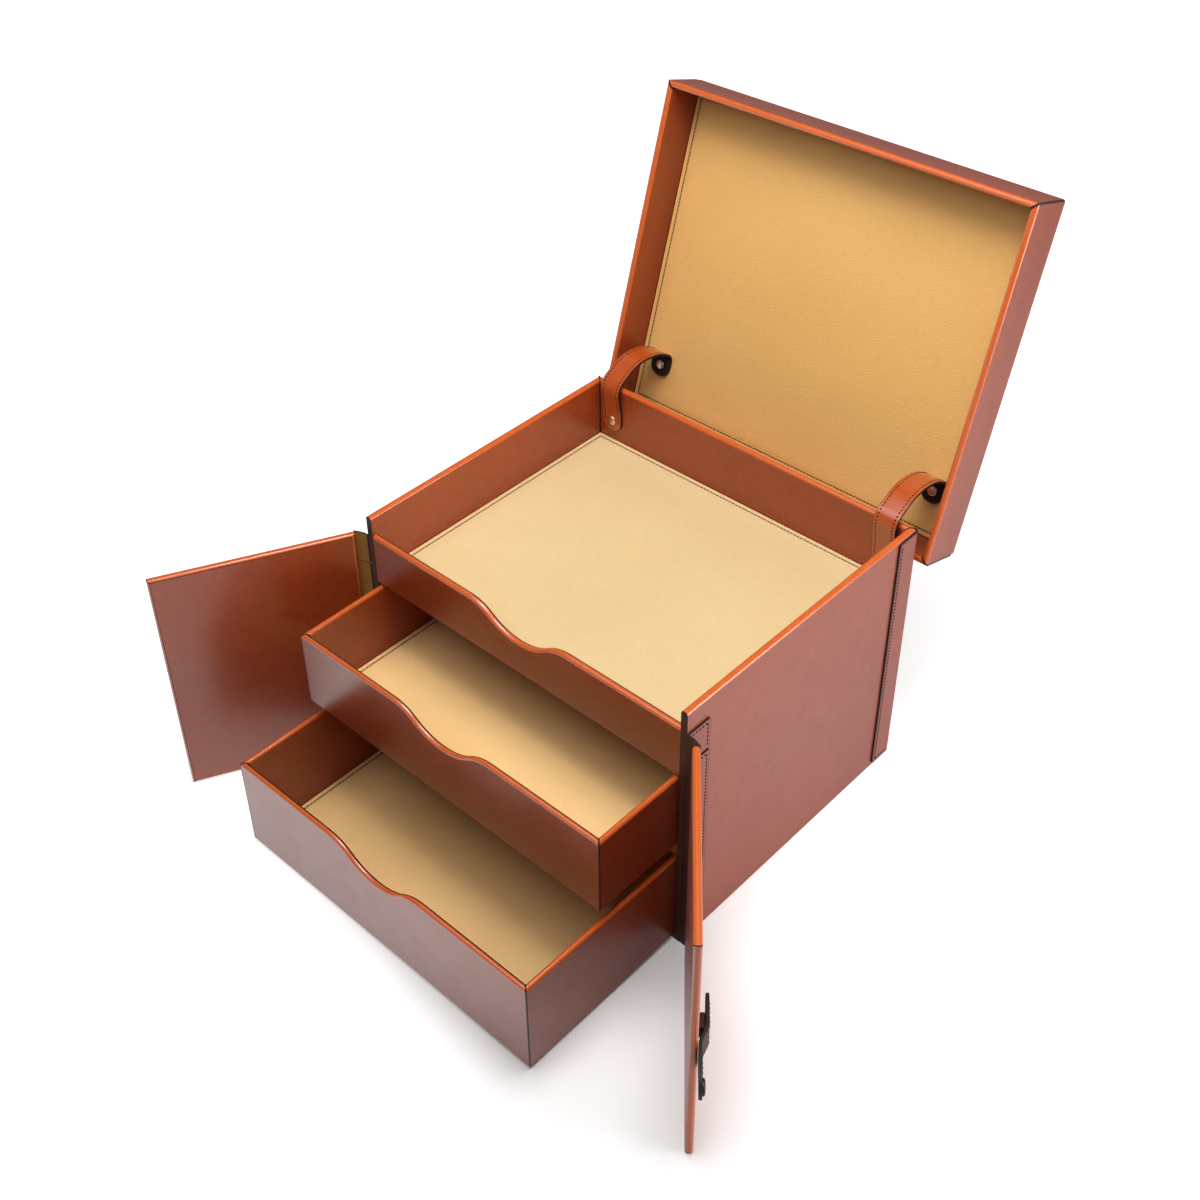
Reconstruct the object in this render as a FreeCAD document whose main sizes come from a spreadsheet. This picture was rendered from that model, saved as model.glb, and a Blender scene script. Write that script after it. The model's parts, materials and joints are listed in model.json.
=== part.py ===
"""Leather stationery case: lidded tray over two drawers behind a pair of doors, shown open."""

import FreeCAD
import Part
import Sketcher

import math
import os
import re
from types import SimpleNamespace

Vector = FreeCAD.Vector
Rotation = FreeCAD.Rotation
Placement = FreeCAD.Placement

# Every driving size in millimetres, angles in degrees.
DIMENSIONS = (
    # Case carcass: leather over board.
    ("case_width", 330.0),
    ("case_depth", 273.0),
    ("case_height", 244.0),
    ("wall", 6.0),
    ("floor_thick", 4.0),
    ("edge_round", 2.3),
    # Tray under the lid, closed in front by the fixed scooped rail.
    ("tray_depth", 56.0),
    ("tray_board_thick", 6.0),
    ("lining_thick", 1.0),
    ("lining_margin", 0.6),
    ("rail_drop", 18.0),
    ("rail_height", 46.5),
    # Finger scoop in the rail and both drawer fronts.
    ("scoop_width", 104.0),
    ("scoop_depth", 17.0),
    ("scoop_shoulder_share", 0.45),
    # Drawers and their runners.
    ("drawer_side_clear", 1.0),
    ("drawer_run_clear", 0.3),
    ("drawer_head_clear", 2.5),
    ("drawer_front_recess", 0.5),
    ("drawer_depth", 262.0),
    ("drawer_wall", 5.0),
    ("drawer_floor_thick", 4.0),
    ("lower_drawer_share", 0.5545),
    ("middle_drawer_out", 82.7),
    ("lower_drawer_out", 157.6),
    ("runner_width", 8.0),
    ("runner_height", 13.0),
    ("runner_setback", 1.5),
    # Leather strips sewn to the outside: corner wraps and hinge leaves.
    ("strip_thick", 1.4),
    ("wrap_width", 23.0),
    ("wrap_end_gap", 3.0),
    ("wrap_round", 4.0),
    # Lid: a shallow box that drops over the case and the door tops.
    ("lid_height", 45.0),
    ("lid_wall", 5.4),
    ("lid_panel_thick", 5.5),
    ("lid_lining_thick", 1.2),
    ("lid_rest_gap", 0.3),
    ("lid_clear", 2.1),
    ("lid_front_clear", 0.6),
    ("lid_hinge_drop", 2.0),
    ("lid_open_angle", 107.0),
    ("lid_leaf_width", 30.0),
    ("lid_leaf_inset", 30.0),
    ("lid_leaf_gap", 4.0),
    # Doors.
    ("door_thick", 6.0),
    ("door_gap", 0.5),
    ("door_mid_gap", 1.0),
    ("door_foot", 1.0),
    ("door_drop", 19.5),
    ("door_hinge_out", 6.2),
    ("door_hinge_forward", 1.3),
    ("left_door_angle", 117.0),
    ("right_door_angle", 130.0),
    ("hinge_leaf_width", 24.0),
    ("hinge_tab_height", 28.5),
    ("hinge_slit", 2.0),
    ("span_gap", 0.4),
    # Stay straps between the rear wall and the lid.
    ("stay_width", 21.0),
    ("stay_thick", 2.2),
    ("stay_from_wall", 16.0),
    ("stay_foot_drop", 45.0),
    ("stay_lap", 17.5),
    ("stay_bulge", 4.5),
    ("stay_bend_lift", 3.0),
    ("stay_rise", 18.0),
    ("stay_land", 57.0),
    ("stay_end", 35.5),
    ("stay_seat_gap", 0.3),
    ("stay_lap_bend", 30.0),
    ("stay_edge_bend", 14.0),
    ("stay_crown_bend", 40.0),
    ("stay_land_bend", 8.0),
    ("rivet_inset", 10.5),
    ("rivet_head_radius", 4.3),
    ("rivet_head_height", 2.0),
    ("rivet_shank_radius", 1.6),
    ("rivet_hole_clear", 0.3),
    # Closure strap on the right door and its stud on the left door.
    ("closure_level_share", 0.459),
    ("closure_width", 22.0),
    ("closure_thick", 2.4),
    ("closure_tail", 46.5),
    ("closure_reach", 28.0),
    ("closure_over_gap", 0.3),
    ("closure_step_start", 17.5),
    ("closure_step_run", 12.0),
    ("closure_bend", 5.0),
    ("keeper_length", 12.5),
    ("keeper_inset", 18.2),
    ("keeper_height", 12.0),
    ("keeper_thick", 5.2),
    ("keeper_round", 2.5),
    ("stud_inset", 20.0),
    ("stud_radius", 3.0),
    ("stud_tall", 2.6),
    ("stud_clear", 0.6),
    ("snap_cap_radius", 6.0),
    ("snap_cap_tall", 2.4),
    ("snap_crown_share", 0.7),
    # Neck of the snap's stud and spigot of its cap, and the slack when sizes are compared.
    ("seat_depth", 0.5),
    ("slack", 0.01),
)
# Middle stations of a stay's arch: shares of its reach over the wall, and of its rise.
STAY_CROWN_SHARES = ((0.33, 1.0), (0.72, 0.8))
# Corner radius of a strap's rounded end, as a share of its width.
END_ROUND_SHARE = 0.46

doc = FreeCAD.newDocument("stationery_case")
sheet = doc.addObject("Spreadsheet::Sheet", "dims")
for row, (alias, number) in enumerate(DIMENSIONS, start=1):
    sheet.set(f"A{row}", alias)
    sheet.set(f"B{row}", str(number))
    sheet.setAlias(f"B{row}", alias)
doc.recompute()
d = SimpleNamespace(**{alias: float(sheet.get(alias)) for alias, _ in DIMENSIONS})

pieces = []


def bind(owner, path, formula):
    """Drive one property by a formula of sheet aliases."""
    owner.setExpression(path, re.sub(r"[a-z]\w*", lambda word: f"dims.{word.group()}", formula))


def keep(item, label, place):
    """Name a finished sub-part, put it in its place and list it for writing."""
    item.Label = label
    item.Placement = place
    pieces.append(item)
    return item


def at(frame, x=0.0, y=0.0, z=0.0, turn=None):
    """Placement of a piece whose corner lies at a point of its body's frame."""
    return frame.multiply(Placement(Vector(x, y, z), turn or Rotation()))


def plane_of(body, role):
    """Origin plane of a body."""
    return next(item for item in body.Origin.OriginFeatures if item.Role == role)


def sketch_on(body, name, role):
    """Empty sketch on one of the body's own origin planes."""
    sketch = body.newObject("Sketcher::SketchObject", name)
    sketch.AttachmentSupport = [(plane_of(body, role), "")]
    sketch.MapMode = "FlatFace"
    return sketch


def segment(start, end):
    """Straight sketch line between two plane points."""
    return Part.LineSegment(Vector(*start, 0), Vector(*end, 0))


def closed_lines(sketch, corners):
    """Closed chain of lines through the corners, joined end to end."""
    first = sketch.GeometryCount
    count = len(corners)
    for index in range(count):
        sketch.addGeometry(segment(corners[index], corners[(index + 1) % count]))
    for index in range(count):
        follow = first + (index + 1) % count
        sketch.addConstraint(Sketcher.Constraint("Coincident", first + index, 2, follow, 1))


def dimension(sketch, name, formula, kind, *where):
    """Named driving dimension of a sketch, bound to the sheet."""
    index = sketch.addConstraint(Sketcher.Constraint(kind, *where))
    sketch.renameConstraint(index, name)
    bind(sketch, f"Constraints.{name}", formula)


def rectangle(body, name, role, size, start):
    """Rectangle from the origin, its two sides bound to the sheet."""
    sketch = sketch_on(body, name, role)
    long, wide = start
    closed_lines(sketch, ((0, 0), (long, 0), (long, wide), (0, wide)))
    for line, kind in enumerate(("Horizontal", "Vertical", "Horizontal", "Vertical")):
        sketch.addConstraint(Sketcher.Constraint(kind, line))
    sketch.addConstraint(Sketcher.Constraint("Coincident", 0, 1, -1, 1))
    dimension(sketch, "length", size[0], "DistanceX", 0, 1, 0, 2, long)
    dimension(sketch, "breadth", size[1], "DistanceY", 1, 1, 1, 2, wide)
    return sketch


def pad(body, name, sketch, formula, backwards=False):
    """Pad of a sketch to a bound length."""
    feature = body.newObject("PartDesign::Pad", name)
    feature.Profile = sketch
    feature.Reversed = backwards
    bind(feature, "Length", formula)
    doc.recompute()
    return feature


def rounded(body, name, base, chosen, formula):
    """Fillet of every edge of a feature that the test picks out."""
    names = [f"Edge{i}" for i, edge in enumerate(base.Shape.Edges, start=1) if chosen(edge)]
    feature = body.newObject("PartDesign::Fillet", name)
    feature.Base = (base, names)
    bind(feature, "Radius", formula)
    doc.recompute()
    return feature


def runs_along(edge, axis):
    """Whether a straight edge runs along an axis, 0 for X to 2 for Z."""
    if len(edge.Vertexes) < 2:
        return False
    step = edge.Vertexes[1].Point - edge.Vertexes[0].Point
    return near(abs(step[axis]), step.Length)


def near(number, other):
    """Whether two sizes or coordinates are the same."""
    return abs(number - other) < d.slack


def board(label, place, size, round_test=None, round_size="edge_round"):
    """Rectangular board from its local origin, with chosen edges rolled over."""
    body = doc.addObject("PartDesign::Body", label)
    outline = rectangle(body, f"{label}_outline", "XY_Plane", size[:2], (d.wall, d.wall))
    solid = pad(body, f"{label}_pad", outline, size[2])
    if round_test:
        box = solid.Shape.BoundBox
        rounded(body, f"{label}_roll", solid, lambda edge: round_test(edge, box), round_size)
    return keep(body, label, place)


def top_along(axis):
    """Test for the top edges that run along an axis."""
    return lambda edge, box: runs_along(edge, axis) and near(edge.CenterOfMass.z, box.ZMax)


def rim_along(axis):
    """Test for the lower edges that run along an axis."""
    return lambda edge, box: runs_along(edge, axis) and near(edge.CenterOfMass.z, box.ZMin)


def scooped_board(label, place, width, thick, height, tall):
    """Upright board with an ogee finger scoop in its top edge, rolled along the top."""
    body = doc.addObject("PartDesign::Body", label)
    sketch = sketch_on(body, f"{label}_outline", "XZ_Plane")
    long, half = number_of(width), d.scoop_width / 2
    sweep = (half ** 2 + d.scoop_depth ** 2) / (2 * d.scoop_depth)
    shoulder, hollow = sweep * d.scoop_shoulder_share, sweep * (1 - d.scoop_shoulder_share)
    lean = 2 * math.atan(d.scoop_depth / half)
    mid = long / 2
    quarter = math.pi / 2
    sketch.addGeometry(segment((0, 0), (long, 0)))
    sketch.addGeometry(segment((long, 0), (long, tall)))
    sketch.addGeometry(segment((long, tall), (mid + half, tall)))
    arcs = (
        ((mid + half, tall - shoulder), shoulder, quarter, quarter + lean),
        ((mid, tall - d.scoop_depth + hollow), hollow, -quarter - lean, lean - quarter),
        ((mid - half, tall - shoulder), shoulder, quarter - lean, quarter),
    )
    for centre, radius, start, end in arcs:
        circle = Part.Circle(Vector(*centre, 0), Vector(0, 0, 1), radius)
        sketch.addGeometry(Part.ArcOfCircle(circle, start, end))
    sketch.addGeometry(segment((mid - half, tall), (0, tall)))
    sketch.addGeometry(segment((0, tall), (0, 0)))
    for one, two in ((0, 1), (1, 2), (6, 7), (7, 0)):
        sketch.addConstraint(Sketcher.Constraint("Coincident", one, 2, two, 1))
    sketch.addConstraint(Sketcher.Constraint("Coincident", 0, 1, -1, 1))
    for one, end, two, start in ((2, 2, 3, 1), (3, 2, 4, 2), (4, 1, 5, 1), (5, 2, 6, 1)):
        sketch.addConstraint(Sketcher.Constraint("Tangent", one, end, two, start))
    for line in (0, 2, 6):
        sketch.addConstraint(Sketcher.Constraint("Horizontal", line))
    for line in (1, 7):
        sketch.addConstraint(Sketcher.Constraint("Vertical", line))
    for one, two in ((2, 6), (1, 7), (3, 5)):
        sketch.addConstraint(Sketcher.Constraint("Equal", one, two))
    spread = "(scoop_width ^ 2 / 4 + scoop_depth ^ 2) / (2 * scoop_depth)"
    dimension(sketch, "length", width, "DistanceX", 0, 1, 0, 2, long)
    dimension(sketch, "tall", height, "DistanceY", 1, 1, 1, 2, tall)
    dimension(sketch, "scoop", "scoop_width", "DistanceX", 6, 1, 2, 2, 2 * half)
    dimension(sketch, "shoulder", f"scoop_shoulder_share * {spread}", "Radius", 3, shoulder)
    dimension(sketch, "hollow", f"(1 - scoop_shoulder_share) * {spread}", "Radius", 4, hollow)
    solid = pad(body, f"{label}_pad", sketch, thick, backwards=True)
    box = solid.Shape.BoundBox

    def on_top(edge):
        span = edge.BoundBox
        return span.ZMin > box.ZMin + d.slack and span.YLength < d.slack < span.XLength

    rounded(body, f"{label}_roll", solid, on_top, "edge_round")
    return keep(body, label, place)


def number_of(formula):
    """Number that a sum of sheet aliases stands for, in signed terms of one factor and one alias."""
    total = 0.0
    for sign, factor, alias in re.findall(r"([+-]?)\s*(?:(\d+)\s*\*\s*)?([a-z]\w*)", formula):
        total += (-1.0 if sign == "-" else 1.0) * float(factor or 1) * getattr(d, alias)
    return total


def headed_pin(name, place, head_radius, head_tall, shank_radius, shank_long, domed=True):
    """Head on a shank, turned about Z, domed or tapered to a flat; it sits on the plane z = 0."""
    body = doc.addObject("PartDesign::Body", name)
    sketch = sketch_on(body, f"{name}_outline", "XZ_Plane")
    sizes = (head_radius, head_tall, shank_radius, shank_long)
    wide, tall, slim, deep = (number_of(size) for size in sizes)
    low, high = (wide ** 2 - tall ** 2) / (2 * tall), (wide ** 2 + tall ** 2) / (2 * tall)
    sketch.addGeometry(segment((0, tall), (0, -deep)))
    sketch.addGeometry(segment((0, -deep), (slim, -deep)))
    sketch.addGeometry(segment((slim, -deep), (slim, 0)))
    sketch.addGeometry(segment((slim, 0), (wide, 0)))
    if domed:
        circle = Part.Circle(Vector(0, -low, 0), Vector(0, 0, 1), high)
        sketch.addGeometry(Part.ArcOfCircle(circle, math.atan2(low, wide), math.pi / 2))
    else:
        crown = wide * d.snap_crown_share
        sketch.addGeometry(segment((wide, 0), (crown, tall)))
        sketch.addGeometry(segment((crown, tall), (0, tall)))
    last = sketch.GeometryCount - 1
    for line in range(last + 1):
        follow = (line + 1) % (last + 1)
        sketch.addConstraint(Sketcher.Constraint("Coincident", line, 2, follow, 1))
    sketch.addConstraint(Sketcher.Constraint("PointOnObject", 0, 1, -2))
    if domed:
        sketch.addConstraint(Sketcher.Constraint("PointOnObject", last, 3, -2))
    else:
        sketch.addConstraint(Sketcher.Constraint("Horizontal", last))
        crown_formula = f"snap_crown_share * ({head_radius})"
        dimension(sketch, "flat", crown_formula, "DistanceX", last, 2, last, 1, crown)
    sketch.addConstraint(Sketcher.Constraint("Vertical", 0))
    sketch.addConstraint(Sketcher.Constraint("Vertical", 2))
    sketch.addConstraint(Sketcher.Constraint("Horizontal", 1))
    sketch.addConstraint(Sketcher.Constraint("Horizontal", 3))
    sketch.addConstraint(Sketcher.Constraint("PointOnObject", 3, 2, -1))
    dimension(sketch, "head", head_radius, "DistanceX", -1, 1, 3, 2, wide)
    dimension(sketch, "crown", head_tall, "DistanceY", -1, 1, 0, 1, tall)
    dimension(sketch, "shank", shank_radius, "DistanceX", 1, 1, 1, 2, slim)
    dimension(sketch, "depth", shank_long, "DistanceY", 2, 1, 2, 2, deep)
    turned = body.newObject("PartDesign::Revolution", f"{name}_turned")
    turned.Profile = sketch
    turned.ReferenceAxis = (sketch, ["V_Axis"])
    doc.recompute()
    body.Placement = place
    return body


def grouped(label, items):
    """One node of identical separate fasteners."""
    group = doc.addObject("Part::Compound", label)
    group.Links = items
    doc.recompute()
    return keep(group, label, Placement())


def bent_path(points, bends):
    """Wire through straight runs joined by tangent arcs, one bend radius per inner point."""
    edges = []
    start = points[0]
    for index, radius in enumerate(bends, start=1):
        corner = points[index]
        back = (points[index - 1] - corner).normalize()
        onward = (points[index + 1] - corner).normalize()
        half = back.getAngle(onward) / 2
        reach = radius / math.tan(half)
        middle = (back + onward).normalize() * (radius / math.sin(half) - radius)
        enter, leave = corner + back * reach, corner + onward * reach
        edges.append(Part.LineSegment(start, enter).toShape())
        edges.append(Part.Arc(enter, corner + middle, leave).toShape())
        start = leave
    edges.append(Part.LineSegment(start, points[-1]).toShape())
    return Part.Wire(edges)


def strap_solid(points, bends, across, width, thick):
    """Flat strap along a bent path, with rounded ends."""
    path = bent_path(points, bends)
    ahead = (points[1] - points[0]).normalize()
    side, rise = across * (width / 2), across.cross(ahead) * (thick / 2)
    corners = [points[0] + step for step in (side + rise, rise - side, -side - rise, side - rise)]
    section = Part.makePolygon(corners + corners[:1])
    solid = path.makePipeShell([section], True, False)
    ends = [
        edge
        for edge in solid.Edges
        if near(edge.Length, thick)
        and min((edge.CenterOfMass - tip).Length for tip in (points[0], points[-1])) < width
    ]
    return solid.makeFillet(width * END_ROUND_SHARE, ends)


def bored(solid, centre, axis, radius, deep):
    """Solid with a round hole through it, centred on a point."""
    start = centre - axis * deep
    return solid.cut(Part.makeCylinder(radius, 2 * deep, start, axis))


# Levels and half sizes that several pieces share.
half_w, half_d = d.case_width / 2, d.case_depth / 2
inner_half = half_w - d.wall
front, rear_inner = -half_d, half_d - d.wall
tray_top = d.case_height - d.tray_depth
rail_base = d.case_height - d.rail_drop - d.rail_height
inner_width = "case_width - 2 * wall"

# Carcass.
case = Placement()
board("case_floor", at(case, -inner_half, front), (inner_width, "case_depth - wall", "floor_thick"))
for side, left in (("left", -half_w), ("right", inner_half)):
    board(f"{side}_wall", at(case, left, front), ("wall", "case_depth", "case_height"), top_along(1))
board("rear_wall", at(case, -inner_half, rear_inner), (inner_width, "wall", "case_height"), top_along(0))
rail_place = at(case, -inner_half, front, rail_base)
scooped_board("front_rail", rail_place, inner_width, "wall", "rail_height", d.rail_height)
board(
    "tray_board",
    at(case, -inner_half, front + d.wall, tray_top - d.tray_board_thick),
    (inner_width, "case_depth - 2 * wall", "tray_board_thick"),
)
board(
    "tray_lining",
    at(case, d.lining_margin - inner_half, front + d.wall + d.lining_margin, tray_top),
    (
        "case_width - 2 * wall - 2 * lining_margin",
        "case_depth - 2 * wall - 2 * lining_margin",
        "lining_thick",
    ),
)


def corner_wrap(label, place):
    """Leather strip folded round a rear upright corner; its inner corner is the local origin."""
    body = doc.addObject("PartDesign::Body", label)
    sketch = sketch_on(body, f"{label}_outline", "XY_Plane")
    out, leg = d.strip_thick, -d.wrap_width
    closed_lines(sketch, ((0, 0), (0, leg), (out, leg), (out, out), (leg, out), (leg, 0)))
    for line in range(sketch.GeometryCount):
        sketch.addConstraint(Sketcher.Constraint("Horizontal" if line % 2 else "Vertical", line))
    sketch.addConstraint(Sketcher.Constraint("Coincident", 0, 1, -1, 1))
    sketch.addConstraint(Sketcher.Constraint("Equal", 0, 5))
    sketch.addConstraint(Sketcher.Constraint("Equal", 1, 4))
    dimension(sketch, "leg", "wrap_width", "DistanceY", 0, 2, 0, 1, d.wrap_width)
    dimension(sketch, "thick", "strip_thick", "DistanceX", 1, 1, 1, 2, out)
    solid = pad(body, f"{label}_pad", sketch, "case_height - 2 * wrap_end_gap")

    def free_corner(edge):
        point = edge.CenterOfMass
        return near(edge.Length, d.strip_thick) and near(min(point.x, point.y), -d.wrap_width)

    rounded(body, f"{label}_ends", solid, free_corner, "wrap_round")
    return keep(body, label, place)


corner_wrap("right_corner_wrap", at(case, half_w, half_d, d.wrap_end_gap))
corner_wrap("left_corner_wrap", at(case, -half_w, half_d, d.wrap_end_gap, Rotation(Vector(0, 0, 1), 90)))


# Height between floor and rail that the two drawers share, each with the clearances of its run.
drawer_room = (
    "(case_height - rail_drop - rail_height - floor_thick - runner_height"
    " - 2 * drawer_run_clear - 2 * drawer_head_clear)"
)
lower_tall = d.lower_drawer_share * number_of(drawer_room)
middle_tall = number_of(drawer_room) - lower_tall
lower_level = d.floor_thick + d.drawer_run_clear
runner_level = lower_level + lower_tall + d.drawer_head_clear
middle_level = runner_level + d.runner_height + d.drawer_run_clear
for side, left in (("left", -inner_half), ("right", inner_half - d.runner_width)):
    board(
        f"{side}_runner",
        at(case, left, front + d.runner_setback, runner_level),
        ("runner_width", "case_depth - wall - runner_setback", "runner_height"),
    )


def drawer(name, level, height, tall, out):
    """Open box of a scooped front, two sides, a rear and a lined floor."""
    frame = Placement(Vector(0, front + d.drawer_front_recess - out, level), Rotation())
    half = inner_half - d.drawer_side_clear
    inside = half - d.drawer_wall
    width = "case_width - 2 * wall - 2 * drawer_side_clear"
    scooped_board(f"{name}_front", at(frame, -half), width, "drawer_wall", height, tall)
    side_size = ("drawer_wall", "drawer_depth - 2 * drawer_wall", height)
    board(f"{name}_left_side", at(frame, -half, d.drawer_wall), side_size, top_along(1))
    board(f"{name}_right_side", at(frame, inside, d.drawer_wall), side_size, top_along(1))
    rear = d.drawer_depth - d.drawer_wall
    board(f"{name}_rear", at(frame, -half, rear), (width, "drawer_wall", height), top_along(0))
    floor = (f"{width} - 2 * drawer_wall", "drawer_depth - 2 * drawer_wall", "drawer_floor_thick")
    board(f"{name}_floor", at(frame, -inside, d.drawer_wall), floor)
    lining = (f"{floor[0]} - 2 * lining_margin", f"{floor[1]} - 2 * lining_margin", "lining_thick")
    corner = (d.lining_margin - inside, d.drawer_wall + d.lining_margin, d.drawer_floor_thick)
    board(f"{name}_lining", at(frame, *corner), lining)


middle_height = f"(1 - lower_drawer_share) * {drawer_room}"
drawer("middle_drawer", middle_level, middle_height, middle_tall, d.middle_drawer_out)
lower_height = f"lower_drawer_share * {drawer_room}"
drawer("lower_drawer", lower_level, lower_height, lower_tall, d.lower_drawer_out)

# Lid, drawn closed about its hinge line and swung open by the frame.
lid_half = half_w + d.lid_clear + d.lid_wall
lid_rear = half_d + d.lid_clear + d.lid_wall
lid_front = front - d.door_gap - d.door_thick - d.lid_front_clear - d.lid_wall
lid_top = d.case_height + d.lid_rest_gap + d.lid_lining_thick + d.lid_panel_thick
lid_axis = Vector(0, lid_rear, lid_top - d.lid_height - d.lid_hinge_drop)
lid = Placement(lid_axis, Rotation(Vector(1, 0, 0), -d.lid_open_angle))
lid_width = "case_width + 2 * lid_clear + 2 * lid_wall"
lid_depth = "case_depth + lid_clear + door_gap + door_thick + lid_front_clear + 2 * lid_wall"
rim = d.lid_hinge_drop
under_panel = d.lid_hinge_drop + d.lid_height - d.lid_panel_thick
wall_tall = "lid_height - lid_panel_thick"
lid_long = number_of(lid_depth)


def lid_end_wall(outer):
    """Test for the rim and the outer upright corners of a lid end wall."""
    rim_test = rim_along(0)

    def chosen(edge, box):
        face = box.YMin if outer < 0 else box.YMax
        return rim_test(edge, box) or (runs_along(edge, 2) and near(edge.CenterOfMass.y, face))

    return chosen


board(
    "lid_panel",
    at(lid, -lid_half, -lid_long, under_panel),
    (lid_width, lid_depth, "lid_panel_thick"),
    lambda edge, box: runs_along(edge, 2) or near(edge.CenterOfMass.z, box.ZMax),
)
end_size = (lid_width, "lid_wall", wall_tall)
board("lid_front_wall", at(lid, -lid_half, -lid_long, rim), end_size, lid_end_wall(-1))
board("lid_rear_wall", at(lid, -lid_half, -d.lid_wall, rim), end_size, lid_end_wall(1))
for side, left in (("left", -lid_half), ("right", lid_half - d.lid_wall)):
    board(
        f"lid_{side}_wall",
        at(lid, left, d.lid_wall - lid_long, rim),
        ("lid_wall", f"{lid_depth} - 2 * lid_wall", wall_tall),
        rim_along(1),
    )
lining_under = under_panel - d.lid_lining_thick
board(
    "lid_lining",
    at(lid, d.lid_wall + d.lining_margin - lid_half, d.lid_wall + d.lining_margin - lid_long, lining_under),
    (
        f"{lid_width} - 2 * lid_wall - 2 * lining_margin",
        f"{lid_depth} - 2 * lid_wall - 2 * lining_margin",
        "lid_lining_thick",
    ),
)

# Leather hinge of the lid: a leaf on the case, a leaf on the lid and the free span between.
leaf_top = lid_axis.z - d.lid_leaf_gap
leaf_left = d.lid_leaf_inset - half_w
leaf_length = "case_width - 2 * lid_leaf_inset"
leaf_size = (leaf_length, "strip_thick", "lid_leaf_width")
board("lid_hinge_case_leaf", at(case, leaf_left, half_d, leaf_top - d.lid_leaf_width), leaf_size)
board("lid_hinge_lid_leaf", at(lid, leaf_left, 0, rim), leaf_size)


def free_span(label, start, end, across, width, frame):
    """Flat leather between two leaves, clear of both; across is the direction of its width."""
    ahead = (end - start).normalize()
    trim = d.strip_thick / 2 + d.span_gap
    strip = doc.addObject("Part::Box", label)
    strip.Length = (end - start).Length - trim
    bind(strip, "Width", width)
    bind(strip, "Height", "strip_thick")
    normal = ahead.cross(across)
    turn = Rotation(ahead, across, normal, "ZXY")
    corner = start - normal * (d.strip_thick / 2)
    return keep(strip, label, at(frame, corner.x, corner.y, corner.z, turn))


span_start = Vector(leaf_left, half_d + d.strip_thick / 2, leaf_top + d.strip_thick / 2 + d.span_gap)
span_end = lid.multVec(Vector(leaf_left, d.strip_thick / 2, rim))
free_span("lid_hinge_span", span_start, span_end, Vector(1, 0, 0), leaf_length, case)

# Doors, drawn closed about their hinge lines and swung open by their frames.
door_long = half_w - d.door_mid_gap / 2
door_top = d.case_height - d.door_drop
door_face = d.door_hinge_forward - d.door_gap - d.door_thick
door_width = "case_width / 2 - door_mid_gap / 2"
door_size = (door_width, "door_thick", "case_height - door_drop - door_foot")
tab_base = door_top - d.hinge_tab_height
doors = {}
for side, sign, angle in (("left", -1, d.left_door_angle), ("right", 1, d.right_door_angle)):
    axis = Vector(sign * (half_w + d.door_hinge_out), front - d.door_hinge_forward, 0)
    frame = doors[side] = Placement(axis, Rotation(Vector(0, 0, 1), sign * angle))
    left = d.door_hinge_out if sign < 0 else -d.door_hinge_out - door_long
    board(
        f"{side}_door",
        at(frame, left, door_face, d.door_foot),
        door_size,
        lambda edge, box: not runs_along(edge, 1),
    )
    # Case leaf of the leather hinge, slit below its upper tab so that the lid can drop over it.
    leaf_x = half_w if sign > 0 else -half_w - d.strip_thick
    tab_size = ("strip_thick", "hinge_leaf_width", "hinge_tab_height")
    main_tall = "case_height - door_drop - hinge_tab_height - hinge_slit - door_foot"
    board(f"{side}_hinge_tab", at(case, leaf_x, front, tab_base), tab_size)
    main_size = ("strip_thick", "hinge_leaf_width", main_tall)
    board(f"{side}_hinge_leaf", at(case, leaf_x, front, d.door_foot), main_size)
    # Free spans from the wall's front corner to the outer edge of the open door.
    root_y = front - d.strip_thick / 2 - d.span_gap
    tip = frame.multVec(Vector(-sign * d.door_hinge_out, door_face, 0))
    for span, base, tall in (("tab_span", tab_base, "hinge_tab_height"), ("span", d.door_foot, main_tall)):
        start = Vector(sign * (half_w + d.strip_thick / 2), root_y, base)
        free_span(f"{side}_hinge_{span}", start, Vector(tip.x, tip.y, base), Vector(0, 0, 1), tall, case)

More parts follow.
